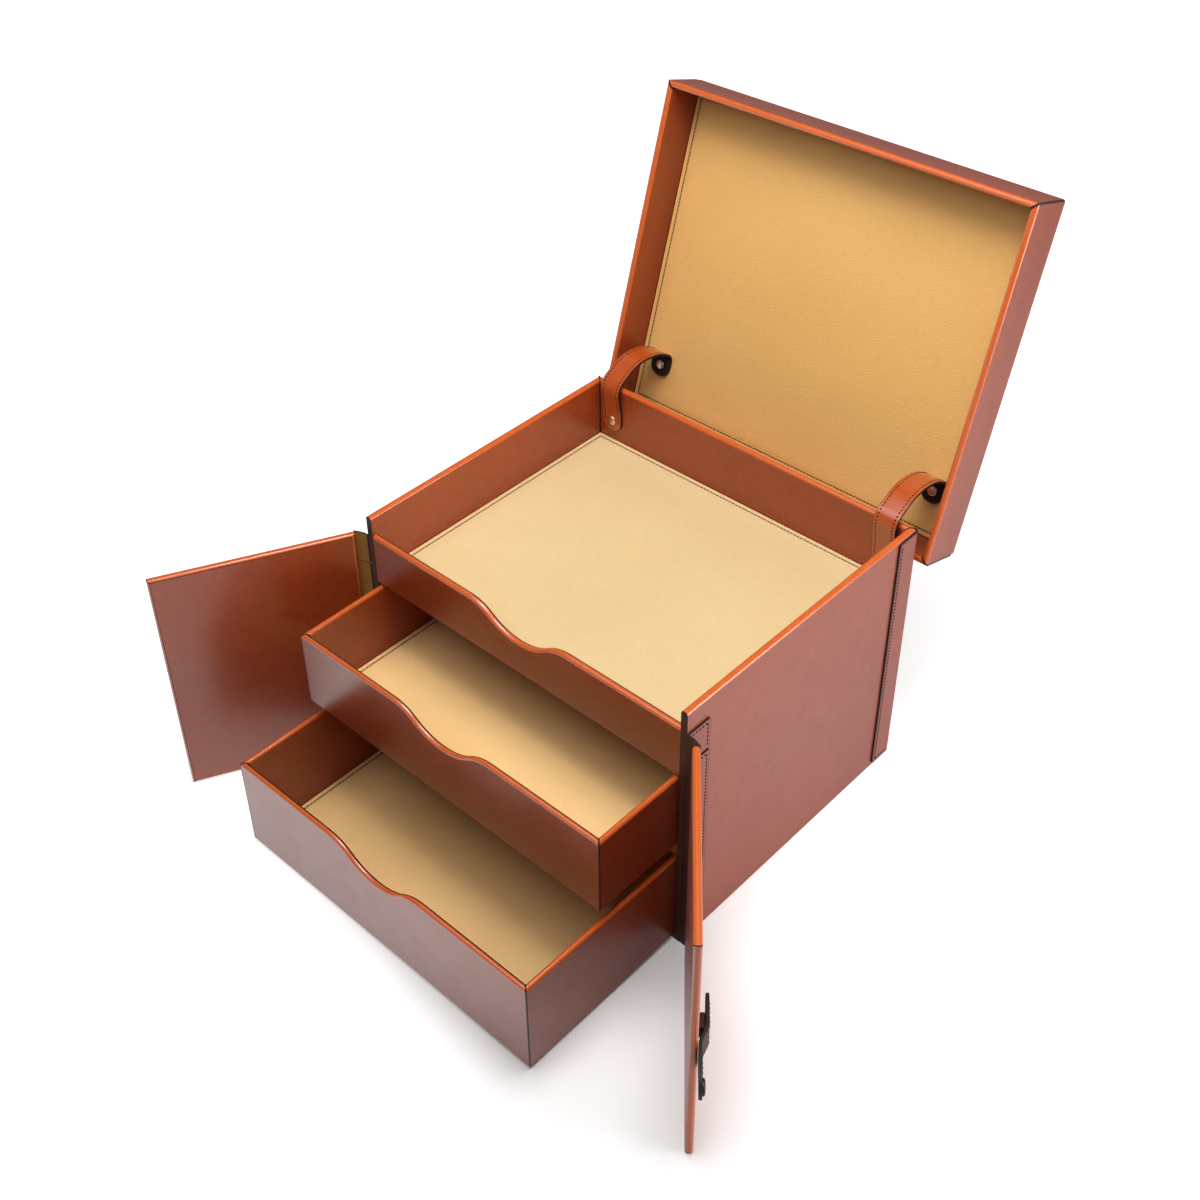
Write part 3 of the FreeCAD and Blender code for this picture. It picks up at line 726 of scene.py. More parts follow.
class BentPath:
    """Straight runs joined by tangent arcs, sampled by length."""

    def __init__(self, points: Sequence[Vector], radii: Sequence[float], step: float = 0.6) -> None:
        """Round the corners of a route.

        Args:
            points: Corners of the route.
            radii: Bend radius at each inner corner.
            step: Distance between samples on the arcs.
        """
        trail = [points[0]]
        for corner, before, after, radius in zip(points[1:-1], points, points[2:], radii):
            back, onward = (before - corner).normalized(), (after - corner).normalized()
            half = back.angle(onward) / 2
            reach = radius / math.tan(half)
            centre = corner + (back + onward).normalized() * (radius / math.sin(half))
            enter, leave = corner + back * reach - centre, corner + onward * reach - centre
            sweep = enter.angle(leave)
            count = max(2, math.ceil(radius * sweep / step))
            axis = enter.cross(leave).normalized()
            trail += [centre + Quaternion(axis, sweep * k / count) @ enter for k in range(count + 1)]
        trail.append(points[-1])
        self.trail = trail
        self.marks = [0.0]
        for one, two in zip(trail, trail[1:]):
            self.marks.append(self.marks[-1] + (two - one).length)

    @property
    def length(self) -> float:
        """Length of the path."""
        return self.marks[-1]

    def at(self, place: float) -> tuple[Vector, Vector]:
        """Point and direction at a length along the path.

        Args:
            place: Length from the start; beyond the ends the path goes on straight.

        Returns:
            The point and the unit tangent.
        """
        index = 0
        while index < len(self.marks) - 2 and self.marks[index + 1] < place:
            index += 1
        one, two = self.trail[index], self.trail[index + 1]
        ahead = (two - one).normalized()
        last = len(self.trail) - 1
        before = (one - self.trail[index - 1]).normalized() if index else ahead
        after = (self.trail[index + 2] - two).normalized() if index + 2 <= last else ahead
        share = (place - self.marks[index]) / max(1e-9, self.marks[index + 1] - self.marks[index])
        share = min(1.0, max(0.0, share))
        tangent = (before + ahead).normalized().lerp((ahead + after).normalized(), share).normalized()
        return one + ahead * (place - self.marks[index]), tangent


@dataclass
class Strip:
    """A flat leather strip that can be laid straight or along a bent path."""

    length: float
    width: float
    thick: float
    corner: float = 1.0
    edge: float = 0.3
    step: float = 2.0
    line: float = 0.0

    def cut_out(self, under: Skin = Skin.INK) -> Shape:
        """Cut the flat strip, from 0 to its length along X and centred across Y.

        Args:
            under: Slot of the lower side.

        Returns:
            The flat shape, its upper side at z = thick / 2.
        """
        shape = Shape()
        bm = shape.bm
        bmesh.ops.create_grid(bm, x_segments=1, y_segments=1, size=0.5)
        place = Matrix.Translation((self.length / 2, 0, -self.thick / 2))
        matrix = place @ Matrix.Diagonal((self.length, self.width, 1, 1))
        bmesh.ops.transform(bm, matrix=matrix, verts=bm.verts)
        bmesh.ops.bevel(bm, geom=bm.verts[:], offset=self.corner, offset_type="OFFSET", segments=8,
                        profile=0.5, affect="VERTICES", material=-1, clamp_overlap=True)
        made = bmesh.ops.extrude_face_region(bm, geom=bm.faces[:])
        lifted = [v for v in made["geom"] if isinstance(v, bmesh.types.BMVert)]
        bmesh.ops.translate(bm, verts=lifted, vec=(0, 0, self.thick))
        bmesh.ops.recalc_face_normals(bm, faces=bm.faces)
        border = [e for e in bm.edges if abs(e.verts[0].co.z - e.verts[1].co.z) < self.edge / 2]
        bmesh.ops.bevel(bm, geom=border, offset=self.edge, offset_type="OFFSET", segments=2, profile=0.5,
                        affect="EDGES", material=-1, clamp_overlap=True)
        bm.normal_update()
        if self.line:
            crown = [f for f in bm.faces if f.normal.z > FACING]
            inset = bmesh.ops.inset_region(bm, faces=crown, thickness=self.line, depth=0.0,
                                           use_even_offset=True)
            for face in inset["faces"]:
                face.material_index = int(Skin.INK)
        shape.paint(Skin.INK, lambda f: abs(f.normal.z) < 0.95)
        shape.paint(under, lambda f: f.normal.z < -0.95)
        stations = int(self.length / self.step)
        for index in range(1, stations):
            shape.slice((index * self.length / stations, 0, 0), (1, 0, 0))
        return shape

    def sew(self, shape: Shape, rows: Iterable[tuple[Pair, Pair]], **thread: float) -> None:
        """Sew rows of stitches on the strip's upper side.

        Args:
            shape: The flat strip.
            rows: Start and end of each row as (along, across).
            thread: Options of the stitch.
        """
        up = Vector((0, 0, 1))
        for start, end in rows:
            shape.stitch(Vector((*start, self.thick / 2)), Vector((*end, self.thick / 2)), up, **thread)

    def sew_edges(self, shape: Shape, inset: float, end: float, **thread: float) -> None:
        """Sew a row along each long edge.

        Args:
            shape: The flat strip.
            inset: Distance of a row from its edge.
            end: Distance of its ends from the strip's.
            thread: Options of the stitch.
        """
        wide = self.width / 2 - inset
        self.sew(shape, [((end, side * wide), (self.length - end, side * wide)) for side in Side], **thread)

    @classmethod
    def free_span(cls, path: BentPath, width: float, across: Vector) -> Shape:
        """Bend the bare strip between the leaves of a hinge.

        Args:
            path: Path of its middle plane.
            width: Width of the strip.
            across: Direction of its width.

        Returns:
            The bent strip, its inner side in the shade slot.
        """
        shape = cls(path.length, width, SIZES.strip, corner=0.5, edge=0.25, step=0.9).cut_out(Skin.SHADE)
        cls.bend(shape, path, across)
        return shape

    @staticmethod
    def bend(shape: Shape, path: BentPath, across: Vector) -> None:
        """Lay the flat strip along a path.

        Args:
            shape: The flat strip.
            path: Path of its middle plane.
            across: Direction of its width; the upper side faces across x tangent.
        """
        for vert in shape.bm.verts:
            point, ahead = path.at(vert.co.x)
            vert.co = point + across * vert.co.y + across.cross(ahead) * vert.co.z


@dataclass
class ScoopedFront:
    """Board with an ogee finger scoop in its rolled top edge."""

    half: float
    thick: float
    tall: float
    roll: float

    def shape(self) -> Shape:
        """Cut and roll the board.

        Returns:
            The board, centred on X, its front at y = 0 and its foot at z = 0.
        """
        reach, drop = SIZES.scoop_width / 2, SIZES.scoop_depth
        sweep = (reach ** 2 + drop ** 2) / (2 * drop)
        shoulder = sweep * SIZES.scoop_shoulder_share
        hollow = sweep - shoulder
        lean = 2 * math.atan(drop / reach)
        shape = Shape()
        bm = shape.bm
        first = bm.verts.new((reach, 0, self.tall))
        bends = (
            ((reach, 0, self.tall - shoulder), -lean, 9),
            ((0, 0, self.tall - drop + hollow), 2 * lean, 20),
            ((-reach, 0, self.tall - shoulder), -lean, 9),
        )
        tip = first
        for centre, angle, steps in bends:
            made = bmesh.ops.spin(bm, geom=[tip], cent=centre, axis=(0, 1, 0), angle=angle, steps=steps)
            tip = next(v for v in made["geom_last"] if isinstance(v, bmesh.types.BMVert))
        corners = [(-self.half, self.tall), (-self.half, 0), (self.half, 0), (self.half, self.tall)]
        chain = [tip] + [bm.verts.new((x, 0, z)) for x, z in corners] + [first]
        for one, two in zip(chain, chain[1:]):
            bm.edges.new((one, two))
        bmesh.ops.contextual_create(bm, geom=bm.edges[:])
        made = bmesh.ops.extrude_face_region(bm, geom=bm.faces[:])
        back = [v for v in made["geom"] if isinstance(v, bmesh.types.BMVert)]
        bmesh.ops.translate(bm, verts=back, vec=(0, self.thick, 0))
        bmesh.ops.recalc_face_normals(bm, faces=bm.faces)
        low = self.tall - drop - 1.0
        top = shape.edges(lambda a, b: min(a.z, b.z) > low and abs(a.y - b.y) < NEAR)
        shape.roll(top, self.roll, segments=8)
        # Dark line on the back of the rolled top: mostly painted shade, partly edge ink.
        shape.paint(Skin.INK, lambda f: 0.25 < f.normal.y < 0.9 and f.calc_center_median().z > low)
        return shape


@dataclass
class LiningPanel:
    """Lining with a folded, sewn border; local origin at its corner, upper side up."""

    width: float
    depth: float
    thick: float = 1.0
    hem: float = 3.4
    crown: float = 0.5
    dents: tuple[Pair, ...] = ()
    border_roll: float = 0.45
    seam_in: float = 0.75
    seam_drop: float = 0.4
    cells: int = 44
    dent_reach: float = 24.0
    creases: int = 5
    crease_rise: float = 0.35
    crease_swirl: float = 0.06
    crease_start: float = 14.0

    def shape(self) -> Shape:
        """Fold the border, crown the field and sew the seam.

        Returns:
            The panel.
        """
        shape = Shape.box((0, 0, 0), (self.width, self.depth, self.thick))
        bm = shape.bm
        field = [max(bm.faces, key=lambda f: f.calc_center_median().z)]
        # Width and rise of each ring inwards: hem, groove, seam, flank of the field, its border.
        folds = ((self.hem, 0.0), (0.5, -0.3), (0.5, 0.0), (0.8, 0.35), (2.0, 0.0))
        for width, rise in folds:
            bmesh.ops.inset_region(bm, faces=field, thickness=width, depth=rise, use_even_offset=True)
        rims = ((0, self.width), (0, self.depth))
        border = shape.edges(lambda a, b: min(a.z, b.z) > NEAR and any(
            abs(a[k] - r) < 0.01 and abs(b[k] - r) < 0.01 for k in (0, 1) for r in rims[k]))
        shape.roll(border, self.border_roll, segments=3, glow=0.0)
        # Painted shade in the groove beside the seam.
        shape.paint(Skin.SHADE, lambda f: f.normal.z > 0.5
                    and -0.35 < f.calc_center_median().z - self.thick < -0.1)
        self.pad(shape, field[0])
        inset, level = self.hem + self.seam_in, self.thick - self.seam_drop
        right, rear = self.width - inset, self.depth - inset
        seam = ((inset, inset), (right, inset), (right, rear), (inset, rear))
        corners = [Vector((*place, level)) for place in seam]
        for one, two in zip(corners, corners[1:] + corners[:1]):
            shape.stitch(one, two, Vector((0, 0, 1)))
        return shape

    def pad(self, shape: Shape, field: Face) -> None:
        """Crown the field and let it pull in round its fixings.

        Args:
            shape: The panel under work.
            field: Its sunken middle face.
        """
        level = field.calc_center_median().z
        bmesh.ops.subdivide_edges(shape.bm, edges=field.edges[:], cuts=self.cells, use_grid_fill=True)
        for vert in shape.bm.verts:
            if vert.co.z < level - 0.01:
                continue
            across, along = 2 * vert.co.x / self.width - 1, 2 * vert.co.y / self.depth - 1
            vert.co.z += self.crown * max(0.0, 1 - across ** 4) * max(0.0, 1 - along ** 4)
            for x, y in self.dents:
                gap = math.hypot(vert.co.x - x, vert.co.y - y)
                turn = math.atan2(vert.co.y - y, vert.co.x - x)
                wave = math.sin(self.creases * turn + self.crease_swirl * gap)
                fold = self.crease_rise * wave * min(1.0, gap / self.crease_start)
                vert.co.z += (fold - 1.0) * math.exp(-(gap / self.dent_reach) ** 2)


@dataclass(frozen=True)
class Rivet:
    """Domed rivet head with a fine collar."""

    radius: float = 4.3
    tall: float = 1.7

    def add(self, shape: Shape, matrix: Matrix) -> None:
        """Turn a head into a shape.

        Args:
            shape: Shape that takes the head.
            matrix: Placement of its seat, Z along its axis.
        """
        bm = bmesh.new()
        dome = ((1.0, 0.0), (1.0, 0.4), (0.97, 0.6), (0.9, 0.76), (0.78, 0.86), (0.55, 0.95), (0.28, 0.99),
                (0.0, 1.0))
        chain = [bm.verts.new((self.radius * reach, 0, self.tall * rise)) for reach, rise in dome]
        rungs = [bm.edges.new(pair) for pair in zip(chain, chain[1:])]
        bmesh.ops.spin(bm, geom=chain + rungs, cent=(0, 0, 0), axis=(0, 0, 1), angle=2 * math.pi, steps=28,
                       use_merge=True)
        bmesh.ops.remove_doubles(bm, verts=bm.verts, dist=1e-4)
        bmesh.ops.holes_fill(bm, edges=[e for e in bm.edges if e.is_boundary], sides=0)
        bmesh.ops.recalc_face_normals(bm, faces=bm.faces)
        bm.transform(matrix)
        shape.join(bm)


@dataclass
class Drawer(Assembly):
    """Open drawer of four mitred leather walls and a sewn lining."""

    body: Body
    level: float
    tall: float
    out: float
    half: float = 158.0
    depth: float = 262.0
    wall: float = 5.0
    floor: float = 4.0
    roll: float = 2.4
    set_back: float = 0.5

    @property
    def frame(self) -> Matrix:
        """Placement of the drawer's front lower middle at rest."""
        return Matrix.Translation((0, self.set_back - SIZES.half_depth - self.out, self.level))

    def mitred(self, shape: Shape, corners: Iterable[Pair], inward: float) -> None:
        """Mitre the upright ends of a wall.

        Args:
            shape: The wall.
            corners: Outer corners of the drawer that it ends at.
            inward: 1 for front and rear, -1 for the sides between them.
        """
        for x, y in corners:
            along = math.copysign(1.0, x) * inward
            shape.mitre((x, y, 0), (along, inward if y == 0 else -inward, 0))

    def build(self) -> None:
        """Build the walls and sew the lining."""
        name = self.body.value
        front = ScoopedFront(self.half, self.wall, self.tall, self.roll).shape()
        self.mitred(front, ((-self.half, 0), (self.half, 0)), 1.0)
        self.settle(front, f"{name}_front", self.frame, self.body)
        rear_low = (-self.half, self.depth - self.wall, 0)
        rear = Shape.board(rear_low, (self.half, self.depth, self.tall), 1, self.roll)
        self.mitred(rear, ((-self.half, self.depth), (self.half, self.depth)), 1.0)
        self.settle(rear, f"{name}_rear", self.frame, self.body)
        for side in Side:
            inner, outer = sorted((side * (self.half - self.wall), side * self.half))
            wall = Shape.board((inner, 0, 0), (outer, self.depth, self.tall), 0, self.roll)
            self.mitred(wall, ((side * self.half, 0), (side * self.half, self.depth)), -1.0)
            word = f"{name}_{side.word}"
            self.settle(wall, f"{word}_side", self.frame, self.body, name=f"{word}_hide")
        margin = self.wall + SIZES.lining_margin
        panel = LiningPanel(2 * (self.half - margin), self.depth - 2 * margin).shape()
        place = self.frame @ Matrix.Translation((margin - self.half, margin, self.floor))
        self.line(panel, name, Lining.DRAWER, place, self.body)


@dataclass(frozen=True)
class LidHinge:
    """Leather hinge along the rear of the lid."""

    half: float = 135.0
    tall: float = 30.0
    top: float = 200.0
    seam_inset: float = 3.5
    seam_end: float = 4.0
    bow: Pair = (0.6, 2.2)
    bow_radius: float = 1.6

    def leaf(self) -> Shape:
        """Cut and sew one leaf.

        Returns:
            The flat leaf.
        """
        leather = Strip(2 * self.half, self.tall, SIZES.strip, corner=2.0, step=60.0)
        shape = leather.cut_out()
        leather.sew_edges(shape, self.seam_inset, self.seam_end)
        return shape

    def place(self, depth: float, level: float) -> Matrix:
        """Placement of an upright leaf that faces back, by the depth and level of its middle."""
        turn = Matrix(((-1, 0, 0), (0, 0, 1), (0, 1, 0))).to_4x4()
        return Matrix.Translation((self.half, depth, level)) @ turn


@dataclass(frozen=True)
class DoorHinge:
    """Leather hinge of a door: an upper tab and a long leaf, each as base and height."""

    tab: Pair = (196.0, 28.5)
    leaf: Pair = (1.0, 193.0)
    width: float = 24.0
    seam: float = 3.2
    slit_lap: float = 0.97
    bow: Point = (0.5, 0.8, 0.0)
    bow_share: float = 0.3
    bow_radius: float = 6.0
    end_gap: float = 0.7


@dataclass
class Carcass(Assembly):
    """Fixed box of the case with its tray, corner wraps and hinge leaves."""

    roll: float = 2.85
    wrap: float = 23.0
    wrap_gap: float = 3.0
    wrap_bend: float = 1.2
    wrap_seam: float = 3.6
    wrap_seam_end: float = 4.0
    wrap_seam_stops: Pair = (0.4, 0.6)
    foot_roll: float = 0.8
    mitre_line: float = 0.6
    end_line: float = 0.7
    right_cap: float = 7.0

    def build(self) -> None:
        """Build every fixed piece."""
        self.walls()
        self.tray()
        for side in Side:
            self.corner_wrap(side)
            self.hinge_leaves(side)
        hinge = LidHinge()
        place = hinge.place(SIZES.half_depth + SIZES.strip / 2, hinge.top - hinge.tall / 2)
        self.settle(hinge.leaf(), "lid_hinge_case_leaf", place, Body.CASE)

    def walls(self) -> None:
        """Side walls with inked front ends, rear wall and scooped rail."""
        half, deep, inner = SIZES.half_width, SIZES.half_depth, SIZES.inner_half
        still = Matrix.Identity(4)
        for side in Side:
            low, high = sorted((side * inner, side * half))
            wall = Shape.board((low, -deep, 0), (high, deep, SIZES.height), 0, self.roll)
            foot = wall.edges(lambda a, b: max(a.z, b.z) < 1 and abs(a.x - b.x) < NEAR)
            wall.roll(foot, self.foot_roll, segments=3, glow=0.0)
            self.ink_front_end(wall, side)
            wall.mitre((side * half, deep, 0), (-side, 1, 0), self.mitre_line)
            self.settle(wall, f"{side.word}_wall", still, Body.CASE)
        rear = Shape.board((-half, deep - SIZES.wall, 0), (half, deep, SIZES.height), 1, self.roll)
        for side in Side:
            rear.mitre((side * half, deep, 0), (side, -1, 0), self.mitre_line)
        self.settle(rear, "rear_wall", still, Body.CASE)
        rail = ScoopedFront(inner, SIZES.wall, SIZES.rail_top - SIZES.rail_base, self.roll).shape()
        self.settle(rail, "front_rail", Matrix.Translation((0, -deep, SIZES.rail_base)), Body.CASE)

    def ink_front_end(self, wall: Shape, side: Side) -> None:
        """Outline a side wall's front end in ink, with a black cap: from the rail top up on the left, over
        the top few millimetres on the right.

        Args:
            wall: The wall under work.
            side: Its side of the case.
        """
        line = self.end_line
        end = [f for f in wall.bm.faces if all(v.co.y < NEAR - SIZES.half_depth for v in f.verts)]
        bmesh.ops.inset_region(wall.bm, faces=end, thickness=line, depth=0.0, use_even_offset=True)
        cap = SIZES.rail_top if side is Side.LEFT else SIZES.height - self.right_cap
        wall.slice((0, 0, cap), (0, 0, 1))
        wall.paint(Skin.SHADE, lambda f: f.normal.y < -FACING)

        def inked(face: Face) -> bool:
            """Whether a face belongs to the end's outline or cap.

            Args:
                face: The face.

            Returns:
                Whether it is painted black.
            """
            middle = face.calc_center_median()
            edge = not SIZES.inner_half + line < abs(middle.x) < SIZES.half_width - line
            return face.normal.y < -FACING and (edge or middle.z > cap)

        wall.paint(Skin.INK, inked)

    def tray(self) -> None:
        """Sewn lining of the tray."""
        margin = SIZES.wall + SIZES.lining_margin
        panel = LiningPanel(SIZES.width - 2 * margin, SIZES.depth - 2 * margin).shape()
        place = Matrix.Translation((margin - SIZES.half_width, margin - SIZES.half_depth, SIZES.tray_level))
        self.line(panel, "tray", Lining.TRAY, place, Body.CASE)

    def corner_wrap(self, side: Side) -> None:
        """Strip folded round a rear upright corner.

        Args:
            side: Side of the case.
        """
        gap, strip = self.wrap_gap, SIZES.strip
        x, y, mid = SIZES.half_width + strip / 2, SIZES.half_depth + strip / 2, SIZES.height / 2
        route = [Vector((side * x, SIZES.half_depth - self.wrap, mid)), Vector((side * x, y, mid)),
                 Vector((side * (SIZES.half_width - self.wrap), y, mid))]
        path = BentPath(route, [self.wrap_bend])
        tall = SIZES.height - 2 * gap
        # Its wide inked border is partly edge ink and partly painted shade along the wrap's edge.
        leather = Strip(path.length, tall, strip, corner=3.5, edge=0.4, line=1.1)
        shape = leather.cut_out()
        inset, end = self.wrap_seam, tall / 2 - self.wrap_seam_end
        last = path.length - inset
        stop, resume = (path.length * share for share in self.wrap_seam_stops)
        rows = [((inset, -end), (inset, end)), ((last, -end), (last, end)),
                ((inset, end), (stop, end)), ((resume, end), (last, end))]
        leather.sew(shape, rows, radius=BOLD_THREAD)
        Strip.bend(shape, path, Vector((0, 0, -side)))
        shape.join(self.corner_piping(side).bm)
        self.settle(shape, f"{side.word}_corner_wrap", Matrix.Identity(4), Body.CASE)

    def corner_piping(self, side: Side) -> Shape:
        """Inked piping over the rim at a rear corner.

        Args:
            side: Side of the case.

        Returns:
            The bent piping.
        """
        out = Vector((side, 1, 0)).normalized()
        corner = Vector((side * SIZES.half_width, SIZES.half_depth, 0))
        bends = ((0.9, -4.5), (0.5, -1.6), (-2.6, -0.45), (-6.0, -0.45), (-8.2, -1.9), (-8.6, -5.0))
        route = [corner + out * reach + Vector((0, 0, SIZES.height + rise)) for reach, rise in bends]
        path = BentPath(route, [1.2, 2.0, 2.0, 1.2], 0.4)
        shape = Strip(path.length, 1.5, 0.9, corner=0.3, edge=0.25, step=0.6).cut_out()
        shape.paint(Skin.INK, lambda f: True)
        Strip.bend(shape, path, Vector((0, 0, 1)).cross(out))
        return shape

    def hinge_leaves(self, side: Side) -> None:
        """Upper tab and long leaf of a door's leather hinge, on the side wall.

        Args:
            side: Side of the case.
        """
        hinge = DoorHinge()
        reach = side * (SIZES.half_width + SIZES.strip / 2)
        upright = Matrix(((0, 0, side), (0, -side, 0), (1, 0, 0))).to_4x4()
        for word, (base, tall) in (("tab", hinge.tab), ("leaf", hinge.leaf)):
            leather = Strip(tall, hinge.width, SIZES.strip, corner=1.6, step=40.0, line=0.35)
            shape = leather.cut_out()
            near, far, wide = hinge.seam, tall - hinge.seam, hinge.width / 2 - hinge.seam
            rows = [((near, -wide), (far, -wide)), ((near, wide), (far, wide)), ((far, -wide), (far, wide))]
            leather.sew(shape, rows, radius=BOLD_THREAD)
            spot = Matrix.Translation((reach, hinge.width / 2 - SIZES.half_depth, base))
            self.settle(shape, f"{side.word}_hinge_{word}", spot @ upright, Body.CASE)


@dataclass
class Lid(Assembly):
    """Box lid, drawn shut about its hinge line."""

    axis: Point = (0.0, 144.0, 204.0)
    angle: float = 107.0
    half: float = 172.5
    depth: float = 293.0
    rim: float = 2.0
    tall: float = 45.0
    wall: float = 5.4
    panel: float = 5.5
    lining: float = 1.2
    roll: float = 2.55
    panel_roll: float = 2.3
    mitre_line: float = 1.0
    stay_fix: float = 41.5

    @property
    def frame(self) -> Matrix:
        """Placement of the open lid at rest."""
        return Matrix.Translation(self.axis) @ Matrix.Rotation(-math.radians(self.angle), 4, "X")

    @property
    def under(self) -> float:
        """Level of the panel's underside in the lid's frame."""
        return self.rim + self.tall - self.panel

    def build(self) -> None:
        """Build panel, mitred walls, lining, hinge leaf and the hinge's free span."""
        self.shell()
        margin = self.wall + SIZES.lining_margin
        width, deep = 2 * (self.half - margin), self.depth - 2 * margin
        dents = tuple((width / 2 + side * SIZES.stay_reach, self.stay_fix - margin) for side in Side)
        panel = LiningPanel(width, deep, self.lining, crown=0.9, dents=dents).shape()
        place = Matrix.Translation((margin - self.half, -margin, self.under))
        place = self.frame @ place @ Matrix.Rotation(math.pi, 4, "X")
        self.line(panel, "lid", Lining.LID, place, Body.LID)
        hinge = LidHinge()
        place = self.frame @ hinge.place(SIZES.strip / 2, self.rim + hinge.tall / 2)
        self.settle(hinge.leaf(), "lid_hinge_lid_leaf", place, Body.LID)
        self.span(hinge)

    def shell(self) -> None:
        """Panel and the four mitred walls."""
        half, deep, top = self.half, self.depth, self.under + self.panel
        panel = Shape.box((-half, -deep, self.under), (half, 0, top))
        outer = panel.edges(lambda a, b: abs(a.z - b.z) > 1 or min(a.z, b.z) > top - NEAR)
        panel.roll(outer, self.panel_roll, segments=5, glow=0.6)
        panel.paint(Skin.INK, lambda f: abs(f.normal.z) < 0.3
                    and min(abs(f.normal.x), abs(f.normal.y)) > 0.35)
        self.settle(panel, "lid_panel", self.frame, Body.LID)
        front, rear, left, right = self.wall - deep, -self.wall, self.wall - half, half - self.wall
        walls = (
            ("front", (-half, -deep), (half, front), 1, (((-half, -deep), (-1, 1)), ((half, -deep), (1, 1)))),
            ("rear", (-half, rear), (half, 0), 1, (((-half, 0), (-1, -1)), ((half, 0), (1, -1)))),
            ("left", (-half, -deep), (left, 0), 0, (((-half, -deep), (1, -1)), ((-half, 0), (1, 1)))),
            ("right", (right, -deep), (half, 0), 0, (((half, -deep), (-1, -1)), ((half, 0), (-1, 1)))),
        )
        floor = self.rim + NEAR
        for word, low, high, across, ends in walls:
            wall = Shape.box((*low, self.rim), (*high, self.under))
            edge = wall.edges(lambda a, b: max(a.z, b.z) < floor and abs(a[across] - b[across]) < NEAR)
            wall.roll(edge, self.roll)
            for place, normal in ends:
                wall.mitre((*place, 0), (*normal, 0), self.mitre_line)
            self.settle(wall, f"lid_{word}_wall", self.frame, Body.LID)

    def span(self, hinge: LidHinge) -> None:
        """Free leather between the two leaves of the hinge.

        Args:
            hinge: Sizes of the hinge.
        """
        half_strip = SIZES.strip / 2
        start = Vector((0, SIZES.half_depth + half_strip, hinge.top))
        end = self.frame @ Vector((0, half_strip, self.rim))
        path = BentPath([start, start + Vector((0, *hinge.bow)), end], [hinge.bow_radius], 0.3)
        shape = Strip.free_span(path, 2 * hinge.half, Vector((-1, 0, 0)))
        node = "lid_hinge_span"
        self.tie(shape, node, f"{node}_hide", self.palette.span(), Body.LID, start, end)


